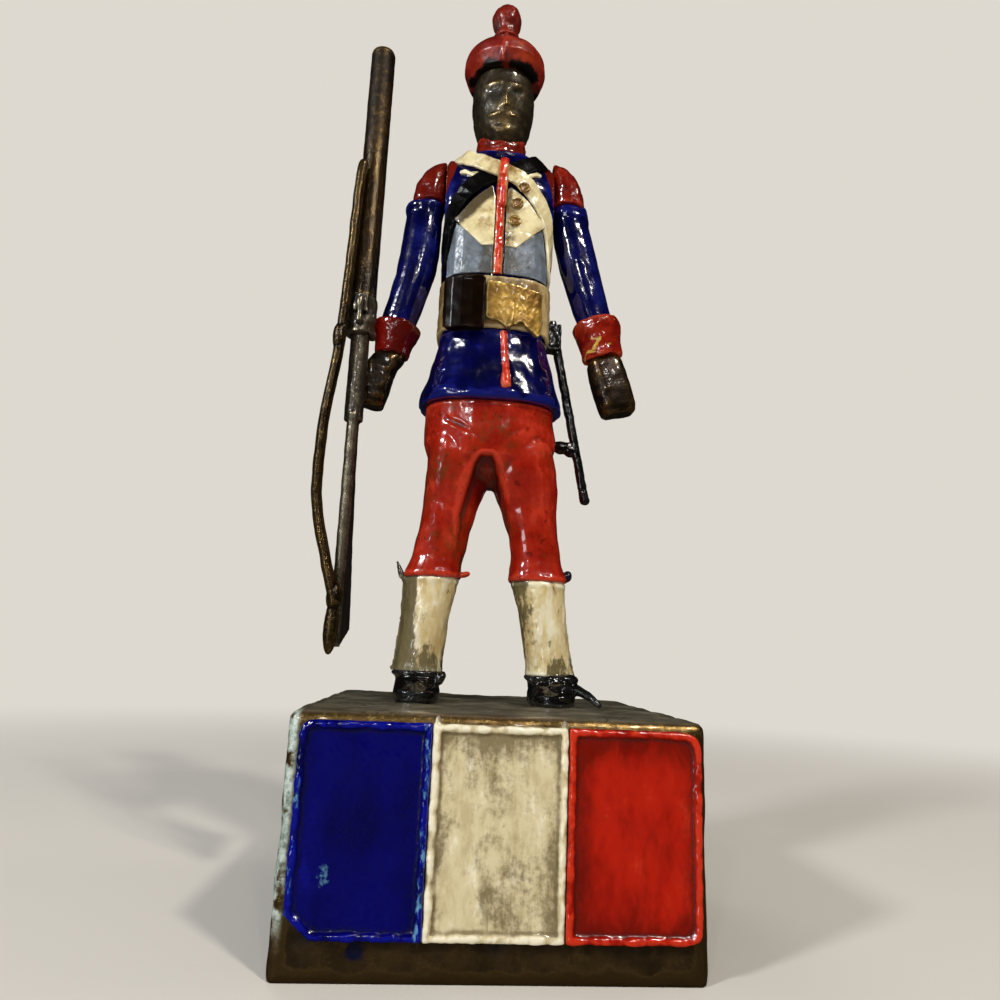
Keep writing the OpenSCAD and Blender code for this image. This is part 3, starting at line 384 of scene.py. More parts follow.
# Flag panels
# Three cast trays with a raised bead, painted in gloss enamel and set edge to edge on the front.
# Each bead is uneven; the blue one's lower outer corner is cut off, the red one's corners are round.
def enamel(name, deep, mid, light, grime, dirt=0.6, gloss=0.14, brush=(1, 1, 1), scale=300, orange=0.15):
    """Thick gloss paint under varnish: cloudy colour with a painted highlight on raised edges, and grime in the
    hollows.
    """
    material, shader, place = fresh(name)
    hollow = place.mark("hollow")
    cloud = place.stretched(*brush).noise(scale, 5, 0.6)
    grit = place.noise(2300, 3, 0.6)
    colour = cloud.step(0.32, 0.55).blend(deep, mid)
    # The light colour comes where the cloud is pale and, as a painted highlight, on raised edges.
    colour = ((cloud - 0.5) * 1.6 + (0.5 - hollow) * 1.5 + grit * 0.2).step(0.18, 0.5).blend(colour, light)
    stain = ((hollow - 0.5) * 3.0 + place.noise(700, 4, 0.65) * 0.5 + grit * 0.15).step(0.42, 0.85) * dirt
    colour = stain.blend(colour, grime)
    feed(shader, "Base Color", colour)
    feed(shader, "Roughness", gloss + 0.10 * grit + 0.22 * stain)
    swell = place.noise(750, 3, 0.5) + grit * 0.22
    feed(shader, "Normal", place.node("ShaderNodeBump", None, {
        "Strength": orange, "Distance": 0.00022, "Height": swell}))
    shader.inputs["IOR"].default_value = 1.5
    shader.inputs["Coat Weight"].default_value = 0.6
    shader.inputs["Coat Roughness"].default_value = 0.05
    return material, shader, place


def rounded(corners):
    """An outline's points, each corner of it rounded off by its own radius."""
    made = []
    for i, (x, z, radius) in enumerate(corners):
        here = Vector((x, z))
        if not radius:
            made.append(here)
            continue
        before, after = (Vector(corners[j % len(corners)][:2]) - here for j in (i - 1, i + 1))
        start, end = here + before.normalized() * radius, here + after.normalized() * radius
        for k in range(5):
            t = k / 4
            made.append(start * (1 - t) ** 2 + here * 2 * t * (1 - t) + end * t ** 2)
    return made


def panel(name, corners, seed, posts=()):
    """A tray raised from its outline: the plate, then a half-round bead set in by small steps."""
    back, thick, bead, steps = -25.02, 0.75, 0.46, 8
    bm = bmesh.new()
    ring = [bm.verts.new((p.x * MM, back * MM, p.y * MM)) for p in rounded(corners)]
    face = bm.faces.new(ring)
    bm.normal_update()
    if face.normal.y > 0:
        face.normal_flip()
    base = bmesh.ops.extrude_face_region(bm, geom=[face])
    top = [g for g in base["geom"] if isinstance(g, bmesh.types.BMFace)]
    bmesh.ops.translate(bm, verts=top[0].verts, vec=(0, -thick * MM, 0))
    before = 0.0
    for step in range(1, steps + 1):
        angle = math.pi * step / steps
        rise = bead * (math.sin(angle) - math.sin(angle - math.pi / steps))
        inset = bead * (1 - math.cos(angle)) - before
        before += inset
        bmesh.ops.inset_region(bm, faces=top, thickness=inset * MM, depth=rise * MM, use_even_offset=True)
    for x, low, high in posts:
        made = bmesh.ops.create_uvsphere(bm, u_segments=16, v_segments=12, radius=0.5 * MM)
        bmesh.ops.scale(bm, verts=made["verts"], vec=(1, 0.9, high - low))
        bmesh.ops.translate(bm, verts=made["verts"], vec=(x * MM, -25.6 * MM, (low + high) / 2 * MM))
    bmesh.ops.recalc_face_normals(bm, faces=bm.faces)
    mesh = bpy.data.meshes.new(name)
    bm.to_mesh(mesh)
    bm.free()
    obj = skinned(name, mesh, 0.16, 2)
    at, out = points(obj)
    on_bead = np.clip((-25.75 - at[:, 1]) / 0.35, 0, 1)
    lift = (0.01 + 0.06 * on_bead) * waves(at, 2.6, seed) + (0.004 + 0.02 * on_bead) * waves(at, 0.9, seed + 1)
    lift[at[:, 1] > -25.3] = 0
    put(obj, at + out * lift[:, None])
    return obj


low, high = 4.6, 28.0
blue_panel = panel("blue_panel_tray", [(-23.4, low + 2.6, 0), (-20.4, low, 0), (-8.05, low, 0),
                                       (-8.05, high, 0), (-23.4, high, 1.8)], 21)
white_panel = panel("white_panel_tray", [(-8.0, low, 0), (8.0, low, 0), (8.0, high, 0), (-8.0, high, 0)],
                    24, [(-7.5, 26.2, 29.0), (7.5, 26.2, 28.9)])
red_panel = panel("red_panel_tray", [(8.05, low, 0), (24, low, 2.0), (24, high, 2.6), (8.05, high, 0)], 27)

flag_blue, shader, place = enamel("flag blue enamel", rgb(0, 0, 66), rgb(0, 0, 92), rgb(4, 12, 128),
                                  rgb(3, 3, 34), 0.5, 0.10, (1, 1, 0.5), 160)
# Painted highlight: a small dent drawn only as grey-cyan highlights in the blue.
spot = place.stretched(1.6, 1, 1).distance((-0.0310, -0.0257, 0.0114)) + 0.0016 * place.noise(1100, 3, 0.6)
dent_glint = (1 - spot.step(0.0016, 0.0021)) * place.noise(1500, 3).step(0.42, 0.55)
over(shader, dent_glint * place.noise(2600, 3).step(0.4, 0.6), rgb(70, 112, 140))
# Painted highlight: pale blue glints streaked along the crests of the blue tray's side beads.
x, crest = place.axis("X"), 1 - place.axis("Y").step(-0.02615, -0.02588)
bead_glint_edge = crest * (x.step(-0.0092, -0.0088) + 1 - x.step(-0.0230, -0.0226)).clamp()
bead_glint_streaks = (place.stretched(1, 1, 0.35).noise(1500, 4, 0.7) + place.noise(260, 3) * 0.5).step(0.80, 0.92)
over(shader, bead_glint_edge * bead_glint_streaks, rgb(86, 140, 176))
settle(blue_panel, "blue_panel_tray", flag_blue, "figure", "panel_blue", "blue_panel")

flag_white, shader, place = enamel("flag white enamel", rgb(198, 182, 140), rgb(218, 204, 164),
                                   rgb(240, 232, 204), rgb(110, 90, 50), 0.8, 0.2, (1.6, 1, 0.7), 420)
tray_floor = place.axis("Y").step(-0.02605, -0.02585)
strokes = place.stretched(3.0, 1, 0.5).noise(560, 6, 0.68)
patch = place.stretched(1, 1, 0.75).noise(135, 8, 0.62, 0.6)
grains = place.noise(1500, 4, 0.7)
border = abs(place.axis("X")).step(0.0046, 0.0074) * 0.16 + place.axis("Z").step(0.0225, 0.0270) * 0.18
soil = (patch * 0.9 + strokes * 0.34 + grains * 0.42 + border).step(0.79, 1.07)
over(shader, tray_floor * soil * 0.85, rgb(110, 95, 62))
settle(white_panel, "white_panel_tray", flag_white, "figure", "panel_white", "white_panel")

flag_red, shader, place = enamel("flag red enamel", rgb(146, 14, 0), rgb(178, 25, 2), rgb(200, 48, 22),
                                 rgb(74, 8, 2), 0.7, 0.12, (1.4, 1, 0.6), 220)
border = abs(place.axis("X") - 0.0164).step(0.0036, 0.0074) + abs(place.axis("Z") - 0.0158).step(0.0066, 0.0112)
strokes = place.stretched(1.5, 1, 0.7).noise(190, 8, 0.72, 0.8)
shadow = place.axis("Y").step(-0.02605, -0.02585) * (border * 0.6 + strokes * 1.7).step(0.8, 1.6)
over(shader, shadow * 0.8, rgb(88, 9, 1))
settle(red_panel, "red_panel_tray", flag_red, "figure", "panel_red", "red_panel")


# Pins inside the figure
# Turned steel rods that hold the legs, the waist and the neck together, bare and slightly oily.
rod_steel, shader, place = fresh("turned steel rod")
shader.inputs["Metallic"].default_value = 1.0
feed(shader, "Base Color", place.noise(900, 3).blend(rgb(120, 121, 122), rgb(160, 161, 163)))
feed(shader, "Roughness", 0.28 + 0.2 * place.stretched(1, 1, 6).noise(1800, 3))
for name in ("leg_pins", "waist_dowel", "neck_pin"):
    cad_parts[name].data.materials.clear()
    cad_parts[name].data.materials.append(rod_steel)


# Shoes
# Cast shoes in thick black gloss, each with a wrapped band at the ankle; the band of the left shoe
# ends in a lace that trails on the plinth.
def knob(bm, at, size, turn=0.0):
    """A small lump of metal or paint, wider or longer as its size says."""
    made = bmesh.ops.create_uvsphere(bm, u_segments=14, v_segments=10, radius=MM)
    bmesh.ops.scale(bm, verts=made["verts"], vec=size)
    bmesh.ops.rotate(bm, verts=made["verts"], cent=(0, 0, 0), matrix=Matrix.Rotation(turn, 3, "Y"))
    bmesh.ops.translate(bm, verts=made["verts"], vec=Vector(at) * MM)


def meshed(name, build):
    """A mesh from a function that fills a bmesh."""
    bm = bmesh.new()
    build(bm)
    bmesh.ops.remove_doubles(bm, verts=bm.verts, dist=1e-7)
    bmesh.ops.recalc_face_normals(bm, faces=bm.faces)
    mesh = bpy.data.meshes.new(name)
    bm.to_mesh(mesh)
    bm.free()
    return mesh


shoe_black = enamel("shoe black gloss", rgb(6, 5, 5), rgb(12, 11, 10), rgb(26, 27, 28), rgb(14, 12, 10),
                    0.2, 0.12, orange=0.12)[0]


def right_extras(bm):
    knob(bm, (-7.4, -2.6, 32.5), (0.8, 1.0, 1.1), 0.4)


def left_extras(bm):
    knob(bm, (6.6, -2.6, 32.7), (1.3, 1.0, 0.7), 0.2)
    knob(bm, (10.8, -4.0, 32.2), (2.2, 0.9, 0.9))
    knob(bm, (10.9, -3.4, 32.9), (2.3, 1.7, 1.0))
    knob(bm, (10.2, -4.4, 31.1), (2.2, 2.2, 1.6))
    for share in range(9):
        t = share / 8
        size = 0.85 - 0.4 * t
        knob(bm, (12.4 + 3.2 * t, -4.2 - 2.4 * t, 31.6 - 2.0 * t + 0.3 * math.sin(3 * t)), (size, size, size))


for side, extras, seed in (("right", right_extras, 31), ("left", left_extras, 34)):
    shoe = worked(cast(side + "_shoe", 0.16, [meshed(side + "_wrap", extras)]), seed, 0.05, 2.4, 0.01)
    settle(shoe, side + "_shoe_cast", shoe_black, "figure", "black_enamel", side + "_shoe")


# Gaiters
# Tall cream leggings with a dirty varnish. The right one keeps a thin flash of metal along its outer
# seam that ends in a spike; the left one has a folded corner at its top.
gaiter_cream, shader, place = enamel("gaiter cream enamel", rgb(196, 170, 114), rgb(216, 196, 146),
                                     rgb(236, 226, 192), rgb(92, 72, 34), 0.85, 0.2, (1, 1, 0.6), 330)
leg, z = place.axis("X") + ASIDE * MM, place.axis("Z")
right_leg = 1 - leg.step(-0.001, 0.001)
seam_side = right_leg * (-0.0098 - leg).step(-0.0006, 0.0008)
seam_side = seam_side + (1 - right_leg) * (0.0086 - leg).step(-0.0004, 0.0026)
foot = (1 - z.step(0.0335, 0.0410)) * (right_leg + leg.step(0.0090, 0.0112)).clamp()
rough_dirt = place.stretched(1, 1, 0.45).noise(560, 7, 0.72)
streak = place.stretched(1, 1, 0.22).noise(400, 4, 0.6).step(0.52, 0.64)
over(shader, streak * 0.7, rgb(238, 230, 202))
soil = (seam_side * (0.24 + 0.14 * right_leg) + foot * 0.25 + rough_dirt * 1.1).step(0.66, 0.80)
over(shader, soil * 0.88, rgb(84, 74, 44))
spike = right_leg * z.step(0.0474, 0.0478)
over(shader, spike * 0.9, rgb(40, 24, 12))


def flash(bm):
    """The flash: a thin wavy sheet, drawn out sideways along the seam."""
    row = []
    for i in range(15):
        t = i / 14
        z = 33.8 + 15.0 * t
        x = np.interp(z, (33.4, 37.6, 44.6, 48.6), (-14.6, -13.9, -13.5, -13.7))
        row.append(bm.verts.new((x * MM, 0.15 * math.sin(5 * t) * MM, z * MM)))
    edges = [bm.edges.new(pair) for pair in zip(row[:-1], row[1:])]
    swept = bmesh.ops.extrude_edge_only(bm, edges=edges)["geom"]
    rim = sorted((g for g in swept if isinstance(g, bmesh.types.BMVert)), key=lambda v: v.co.z)
    for i, vert in enumerate(rim):
        t = i / 14
        vert.co.x -= (0.7 + 0.2 * math.sin(9 * t) + 0.16 * math.sin(23 * t)) * MM
    rim[-1].co.z += 1.2 * MM
    rim[-1].co.x -= 0.5 * MM
    bmesh.ops.solidify(bm, geom=bm.faces[:], thickness=0.42 * MM)
    for i in range(6):
        size = 0.55 - 0.06 * i
        knob(bm, (-14.2 - 0.16 * i, -0.8, 47.6 + 0.4 * i), (size, size, size))


gaiter = cast("right_gaiter", 0.2, [meshed("flash", flash)], 1)
at, out = points(gaiter)
lift = 0.05 * waves(at, 3, 41) + 0.015 * waves(at, 1, 42)
lift[at[:, 2] > 47.0] *= 0.3
put(gaiter, at + out * lift[:, None])
settle(gaiter, "right_gaiter_cast", gaiter_cream, "figure", "white_enamel", "right_gaiter")

gaiter = cast("left_gaiter", 0.2, soften=1)
at, out = points(gaiter)
fold = near(at, [(8.3, -4.2, 48.2), (10.2, -4.0, 44.8), (11.2, -3.0, 42.6)], 0.5)
flap = near(at, [(9.6, -4.2, 47.2), (12.2, -2.4, 46.4)], 0.9)
lift = 0.05 * waves(at, 3, 44) + 0.015 * waves(at, 1, 45) - 0.45 * fold + 0.4 * flap
lift[at[:, 2] > 47.0] *= 0.4
put(gaiter, at + out * lift[:, None])
settle(gaiter, "left_gaiter_cast", gaiter_cream, "figure", "white_enamel", "left_gaiter")


# Trousers
# One casting from knee rims to hips, in bright red gloss that has worn brown in patches. A V-shaped
# crease runs under the belly, and the gap between the legs closes in an arch with an edge at each side.
trouser_red, shader, place = enamel("trouser red enamel", rgb(132, 14, 2), rgb(160, 32, 10), rgb(188, 52, 30),
                                    rgb(62, 12, 4), 0.75, 0.14, (1, 1, 0.7), 240)
x, y, z = (place.axis(letter) for letter in "XYZ")
tarnish = place.noise(150, 5, 0.62).step(0.46, 0.64) * place.noise(1300, 4, 0.7).step(0.36, 0.6)
over(shader, tarnish * 0.66, rgb(96, 52, 16))
specks = place.noise(900, 3, 0.6, 0.7).step(0.60, 0.68)
over(shader, specks * 0.6, rgb(70, 16, 6))
between = (1 - abs(x + 0.0022).step(0.0010, 0.0030)) * y.step(-0.0062, -0.0050)
shade = between * z.step(0.0560, 0.0600) * (1 - z.step(0.0657, 0.0664))
over(shader, shade * 0.7, rgb(84, 5, 3))
knee_lump = x.step(0.0109, 0.0113) * (1 - z.step(0.0500, 0.0506))
over(shader, knee_lump, rgb(26, 26, 42))


def leftovers(bm):
    """Two lumps of metal left at the knees."""
    knob(bm, (-4.6, -2.4, 48.0), (1.0, 0.8, 0.5), -0.3)
    knob(bm, (11.7, -0.4, 48.7), (0.75, 0.8, 1.0))


def eased(values, width):
    """0 below zero, 1 above the width, eased between."""
    t = np.clip(values / width, 0, 1)
    return t * t * (3 - 2 * t)


trousers = cast("trousers", 0.24, [meshed("leftovers", leftovers)])
at, out = points(trousers)
front = np.clip(-out[:, 1], 0, 1)
taper = 4
gap = np.interp(at[:, 2], (50.5, 54, 58, 60, 62, 63), (3.8, 3.42, 2.81, 2.39, 1.94, 1.8))
keep = np.interp(at[:, 2], (50, 55, 57.4, 59.8, 61.3, 62.4, 63.5, 66),
                 (1, 0.95, 0.79, 0.62, 0.44, 0.2, 0.3, 1))
aside = np.interp(at[:, 2], (49.5, 52, 62, 65), (0, 0.5, 0.7, 0))
centre = np.interp(at[:, 2], (50.5, 62), (-1.4, -1.78))
off = np.abs(at[:, 0] - centre)
beyond = np.clip((off - gap) / taper, 0, 1)
squeezed = gap * keep + beyond * (gap + taper - gap * keep) + np.clip(off - gap - taper, 0, None)
arch = np.where(off < gap, off * keep, squeezed)
at[:, 0] = centre + np.sign(at[:, 0] - centre) * arch + aside * (1 - beyond)
put(trousers, at)
at, out = points(trousers)
right_rim = np.interp(at[:, 2], (57, 61, 65, 66.4), (-6.2, -5.2, -4.1, -3.2))
left_rim = np.interp(at[:, 2], (50, 52, 61, 65, 66.4), (2.9, 2.4, 0.8, -0.5, -1.2))
recess = eased(at[:, 0] - right_rim, 0.5) * eased(left_rim - at[:, 0], 0.5) * eased(66.5 - at[:, 2], 0.6)
recess *= (at[:, 1] < 0) * eased(at[:, 2] - 50, 2)
at[:, 1] += recess * np.interp(at[:, 2], (50, 56, 62, 66.5), (0.5, 0.9, 2.4, 1.3)) * eased(-at[:, 1], 3)
ridge = np.exp(-((at[:, 0] - left_rim - 0.5) / 0.45) ** 2) * eased(66.5 - at[:, 2], 2) * eased(at[:, 2] - 50, 2)
crease = near(at, [(-8.6, -5.8, 71.6), (-5.4, -7.2, 70.0), (-1.9, -7.4, 67.6), (-0.6, -7.4, 67.0)], 0.4)
crease = np.maximum(crease, near(at, [(-0.6, -7.4, 67.0), (1.6, -7.2, 70.0), (4.4, -6.9, 70.9)], 0.4))
belly = near(at, [(-1.6, -7, 72.2)], 3.4)
thigh = near(at, [(-6.2, -6.4, 66.6), (-2.6, -6.8, 65.2)], 1.3)
folds = near(at, [(-10.6, -4, 60.5), (-6.2, -4, 53.5), (-5.6, -3.6, 50.5)], 0.7)
lift = 0.045 * waves(at, 4.2, 51) + 0.007 * waves(at, 1.4, 52)
lift += front * (-0.26 * crease + 0.25 * belly + 0.15 * thigh - 0.2 * folds + 0.16 * ridge)
hook = near(at, [(-4.2, -2.6, 48.0)], 0.8)
lift += 0.8 * hook * np.clip(out[:, 0], 0, 1)
hip = eased(at[:, 0] - 5, 3) * eased(at[:, 2] - 54, 8) * eased(73.6 - at[:, 2], 4)
lift += 0.6 * np.clip(out[:, 0], 0, 1) * hip
lift[at[:, 2] > 74.3] = 0
put(trousers, at + out * lift[:, None])
settle(trousers, "trousers_cast", trouser_red, "figure", "red_enamel", "trousers")


# Coat skirt
# The flared lower half of the jacket in deep blue gloss, lumpy with brushed-on paint that pools and
# shines at its hem.
coat_paint = (rgb(1, 2, 44), rgb(4, 5, 64), rgb(16, 22, 98), rgb(30, 20, 26), 0.6, 0.10, (1, 1, 1), 210, 0.22)
coat_blue = enamel("coat blue enamel", *coat_paint)[0]
skirt = cast("coat_skirt", 0.24)
at, out = points(skirt)
lift = 0.075 * waves(at, 4.4, 61) + 0.014 * waves(at, 1.7, 62)
lift += 0.3 * np.exp(-((at[:, 2] - 76.0) / 1.0) ** 2) * (0.6 + 0.4 * waves(at, 5, 63))
lift[(at[:, 2] < 75.1) & (out[:, 2] < -0.5)] *= 0.2
lift[(np.abs(at[:, 0] + ASIDE) < 9) & (np.abs(at[:, 1]) < 6) & (at[:, 2] < 79.5)] = 0
put(skirt, at + out * lift[:, None])
settle(skirt, "coat_skirt_cast", coat_blue, "figure", "blue_enamel", "coat_skirt")


# Torso
# The jacket's upper half in the same blue, smooth under the belts. Its shoulders reach out to the arms,
# and their sloping outer corners carry on the red of the shoulder caps.
torso_side, arm_inside = 9.23, 9.28  # from the figure's middle, with the joint's gap between them
torso = worked(cast("torso", 0.24), 65, 0.05, 3, 0.01)
at = points(torso)[0]
across = at[:, 0] + ASIDE
reach = eased(np.abs(across) - 6.2, 1.6) * eased(at[:, 2] - 96, 4)
reach *= eased(np.interp(at[:, 2], (106, 110), (3.4, 6.0)) - np.abs(at[:, 1]), 1.2)
short = np.clip(np.interp(at[:, 2], (107, 111), (9.16, 9.22)) - np.abs(across), 0, 1.2)
at[:, 0] += np.sign(across) * short * reach
at[:, 0] = np.clip(at[:, 0] + ASIDE, -torso_side, torso_side) - ASIDE
at[:, 2] += 0.9 * eased(np.abs(at[:, 0] + ASIDE) - 7.5, 1.4) * eased(at[:, 2] - 113, 3)
put(torso, at)
jacket, shader, place = enamel("jacket blue and red enamel", *coat_paint)
leaning = abs(place.axis("X") + ASIDE * MM) + place.axis("Z") * 0.30
red_corner = (leaning + 0.0003 * place.noise(600, 3)).step(0.0426, 0.0428)
over(shader, red_corner, rgb(104, 22, 9))
settle(torso, "torso_cast", jacket, "figure", "blue_enamel", "torso")


# Waistcoat panels
# Two thin plates in steel blue, dull and specked, darker brown towards the middle, with a painted
# highlight along the outer edge.
steel_blue, shader, place = enamel("waistcoat steel blue", rgb(82, 88, 91), rgb(104, 114, 126),
                                   rgb(134, 146, 162), rgb(58, 52, 38), 0.8, 0.32, scale=360)
# The middle of the plates is darker brown.
middle = 1 - abs(place.axis("X") + ASIDE * MM).step(0.0008, 0.005)
soil = (middle * 0.5 + place.noise(560, 5, 0.66)).step(0.6, 0.95)
dots = place.noise(1900, 2, 0.5).step(0.66, 0.72)
over(shader, (soil * 0.8 + dots * 0.5).clamp(), rgb(64, 58, 42))
shader.inputs["Coat Weight"].default_value = 0.25
shader.inputs["Coat Roughness"].default_value = 0.2
plates = worked(cast("waistcoat_panels", 0.12, soften=1), 71, 0.02, 2.4, 0.006)
settle(plates, "waistcoat_plates", steel_blue, "figure", "sky_enamel", "waistcoat_panels")


# Lapels
# Thin cream plates on the chest, two small wings above the belts and two larger lobes below, with a
# raised welt along the lobes' lower edges and brown varnish run over them.
cream, shader, place = enamel("uniform cream enamel", rgb(216, 200, 150), rgb(234, 219, 170),
                              rgb(247, 238, 204), rgb(116, 86, 40), 0.85, 0.16, scale=380)
x, z = place.axis("X"), place.axis("Z")
middle = 1 - abs(x + 0.0014).step(0.0006, 0.0042)
varnish = place.noise(260, 5, 0.66).step(0.5, 0.7) * 0.65
varnish = (varnish + middle * place.noise(520, 4, 0.6).step(0.36, 0.6) * 0.75).clamp()
over(shader, varnish, rgb(152, 118, 58))
# The lobes' upper parts and the strips beside the cord are a darker brown.
rise = (z - 0.108) * 0.697 - (x + ASIDE * MM) * 0.717
runs = place.noise(420, 5, 0.65)
on_lobe = 1 - z.step(0.1122, 0.1126)
brown = (rise + 0.0016 * runs).step(0.0026, 0.0034) * (1 - x.step(-0.0022, -0.0014)) * on_lobe
cord_side = (1 - abs(x + 0.0007).step(0.0008, 0.0022)) * runs.step(0.40, 0.56) * on_lobe
over(shader, (brown * 0.92 + cord_side * 0.75).clamp(), rgb(56, 38, 17))
lapels = worked(cast("lapels", 0.12, soften=1), 74, 0.02, 2.2, 0.006)
at = points(lapels)[0]
lobe = eased(112.6 - at[:, 2], 1.4)
right_lobe = at[:, 0] > -1.3
rise = np.where(right_lobe, 0.77 * at[:, 0] + 0.64 * (at[:, 2] - 108) - 0.9,
                0.697 * (at[:, 2] - 108) - 0.717 * (at[:, 0] + ASIDE) - 1.8)
grow = lobe * eased(rise, 1.2)
at[:, 0] += np.where(right_lobe, 0.55, -0.45) * grow
at[:, 2] += 0.45 * grow - 1.1 * eased(109 - at[:, 2], 4)
wing = 1 - lobe
at[:, 2] += 0.6 * np.clip(at[:, 2] - 115.3, None, 0) * wing
at[:, 0] += np.where(right_lobe, -0.5, 0.2) * wing
at[:, 2] -= np.where(right_lobe, 0.3, 0.9) * wing
put(lapels, at)
at, out = points(lapels)
welt = near(at, [(-8.8, -6.6, 103.1), (-3.7, -7.6, 99.2)], 0.55)
welt = np.maximum(welt, near(at, [(-0.9, -7.6, 99.2), (0.8, -7.6, 99.4), (4.8, -6.9, 103.9)], 0.55))
put(lapels, at + out * (0.32 * welt * np.clip(-out[:, 1], 0, 1))[:, None])
settle(lapels, "lapels_cast", cream, "figure", "white_enamel", "lapels")


# Crossbelts
# Two flat strips looped round the torso: a dull black one against the jacket and a cream one over it.
belt_black, shader, _ = enamel("belt dull black", rgb(5, 4, 4), rgb(8, 7, 7), rgb(18, 16, 15),
                               rgb(16, 13, 11), 0.4, 0.3, scale=420)
shader.inputs["Coat Weight"].default_value = 0.03
shader.inputs["Specular IOR Level"].default_value = 0.04
for name, material, slot, seed in (("white_crossbelt", cream, "white_enamel", 81),
                                   ("black_crossbelt", belt_black, "black_enamel", 84)):
    strip = worked(cast(name, 0.13, soften=1), seed, 0.025, 2.4, 0.006)
    settle(strip, name + "_strip", material, "figure", slot, name)


# Piping, buttons and collar
# A red cord down the front with pale edges, partly worn and partly painted highlight, its upper end laid over
# the belts and a drop at its tail; flat gilt buttons with a rim; a ragged red collar round the neck.
cord_red, shader, place = enamel("piping red enamel", rgb(172, 32, 14), rgb(204, 50, 26), rgb(226, 96, 66),
                                 rgb(82, 20, 8), scale=500)


def cord_end(bm):
    """The cord's upper end, laid over the crossing of the belts."""
    for i in range(28):
        t = i / 27
        sunk = 0.5 * max(0, 1 - t / 0.4)
        knob(bm, (-1.62 + 0.15 * t, -7.58 + 0.1 * t + sunk, 108.4 + 7.4 * t), (0.58, 0.42, 0.45))


piping = cast("front_piping", 0.11, [meshed("cord_end", cord_end)], 1)
at, out = points(piping)
at[:, 1] += 1.4 * eased(at[:, 2] - 116.0, 0.6) * (at[:, 1] > -6.9)
lift = 0.02 * waves(at, 1.8, 91) + 0.008 * waves(at, 0.7, 92)
lower = at[:, 2] < 87
lift -= 0.22 * lower * np.clip(np.abs(out[:, 0]), 0, 1)
lift += 0.75 * near(at, [(-0.3, -8.6, 77.4), (-0.4, -8.6, 78.4)], 1.1) * lower
at += out * lift[:, None]
levels = np.array([level for level in range(77, 117) if (np.abs(at[:, 2] - level) < 1).any()])
axis = np.array([np.median(at[np.abs(at[:, 2] - level) < 1, 0]) for level in levels])
beside = at[:, 0] - np.interp(at[:, 2], levels, axis)
margin = np.clip((np.abs(beside) - 0.36) / 0.12, 0, 1)
at[:, 0] += 0.2 * beside * eased(at[:, 2] - 84, 4)
put(piping, at)
piping.data.attributes.new("edge", "FLOAT", "POINT").data.foreach_set("value", margin.astype(np.float32))
# Pale edges along the cord: partly worn paint, partly painted highlight.
z = place.axis("Z")
worn_and_glint = place.mark("edge") * place.noise(500, 4, 0.6).step(0.36, 0.5)
worn_and_glint = worn_and_glint * z.step(0.086, 0.090) * (1 - z.step(0.1156, 0.1160))
over(shader, worn_and_glint * 0.8, rgb(186, 140, 84))
settle(piping, "front_piping_cord", cord_red, "figure", "red_enamel", "front_piping")

brass = bronze("gilt brass", rgb(104, 70, 20), rgb(158, 118, 46), rgb(210, 178, 108), 0.34, 1.4)[0]
buttons = worked(cast("buttons", 0.09, soften=1), 94, 0.03, 0.9, 0.01)
at = points(buttons)[0]
seat = -7.1
at[:, 1] = np.where(at[:, 1] < seat, seat + 0.55 * (at[:, 1] - seat), at[:, 1])
put(buttons, at)
settle(buttons, "buttons_gilt", brass, "figure", "gilt", "buttons")

collar = worked(cast("collar", 0.14, soften=1), 97, 0.05, 2.2, 0.008)
at = points(collar)[0]
middle = (at.min(0) + at.max(0)) / 2
at = (at - middle) * (1.08, 1.08, 1.15) + middle
at[:, 2] += 0.12 * waves(at * (1, 1, 0), 5, 99)
put(collar, at)
dull_red = enamel("collar red enamel", rgb(84, 16, 8), rgb(124, 26, 12), rgb(158, 48, 28), rgb(52, 34, 22),
                  0.8)[0]
settle(collar, "collar_cast", dull_red, "figure", "red_enamel", "collar")


# Waist belt, pouch and buckle
# A buff belt carries a flat black pouch with a raised rim and two rough gilt plates with a groove
# between them; the belt's end beside them is bare and pale.
buff, shader, place = enamel("belt buff paint", rgb(112, 86, 48), rgb(140, 112, 66), rgb(176, 152, 104),
                             rgb(60, 44, 22), 0.8, 0.3, scale=420)
bare_end = place.axis("X").step(0.0045, 0.0060) * (1 - place.axis("Y").step(-0.002, 0.002))
over(shader, bare_end * place.noise(420, 4, 0.6).step(0.3, 0.55) * 0.75, rgb(206, 182, 128))
belt = worked(cast("waist_belt", 0.2, soften=1), 101, 0.04, 2.4, 0.01)
settle(belt, "waist_belt_band", buff, "figure", "tan_enamel", "waist_belt")

pouch_black, shader, _ = enamel("pouch brown black", rgb(10, 4, 2), rgb(17, 8, 4), rgb(34, 22, 14),
                                rgb(40, 28, 14), 0.3, scale=420, orange=0.05)
shader.inputs["Coat Weight"].default_value = 0.02
shader.inputs["Specular IOR Level"].default_value = 0.04
pouch = cast("cartridge_pouch", 0.13, soften=1)
at, out = points(pouch)
rim = near(at, [(-9.6, -8.6, 86.2), (-9.4, -8.6, 94.6), (-3.8, -9, 94.7)], 0.45)
lift = 0.006 * waves(at, 2.4, 104) + 0.2 * rim
put(pouch, at + out * lift[:, None])
settle(pouch, "cartridge_pouch_cast", pouch_black, "figure", "pouch_enamel", "cartridge_pouch")

plate_gilt = bronze("buckle gilt", rgb(112, 76, 20), rgb(178, 140, 56), rgb(222, 190, 116), 0.34, 2.2)[0]
buckle = cast("belt_buckle", 0.12, soften=1)
at, out = points(buckle)
ragged = np.clip((89.0 - at[:, 2]) / 1.5, 0, 1)
lift = 0.03 * waves(at, 2.0, 107) + 0.012 * waves(at, 0.8, 108)
at[:, 2] += ragged * 0.45 * waves(at * (1, 0, 0), 2.2, 109)
put(buckle, at + out * lift[:, None])
settle(buckle, "belt_buckle_plates", plate_gilt, "figure", "gilt", "belt_buckle")


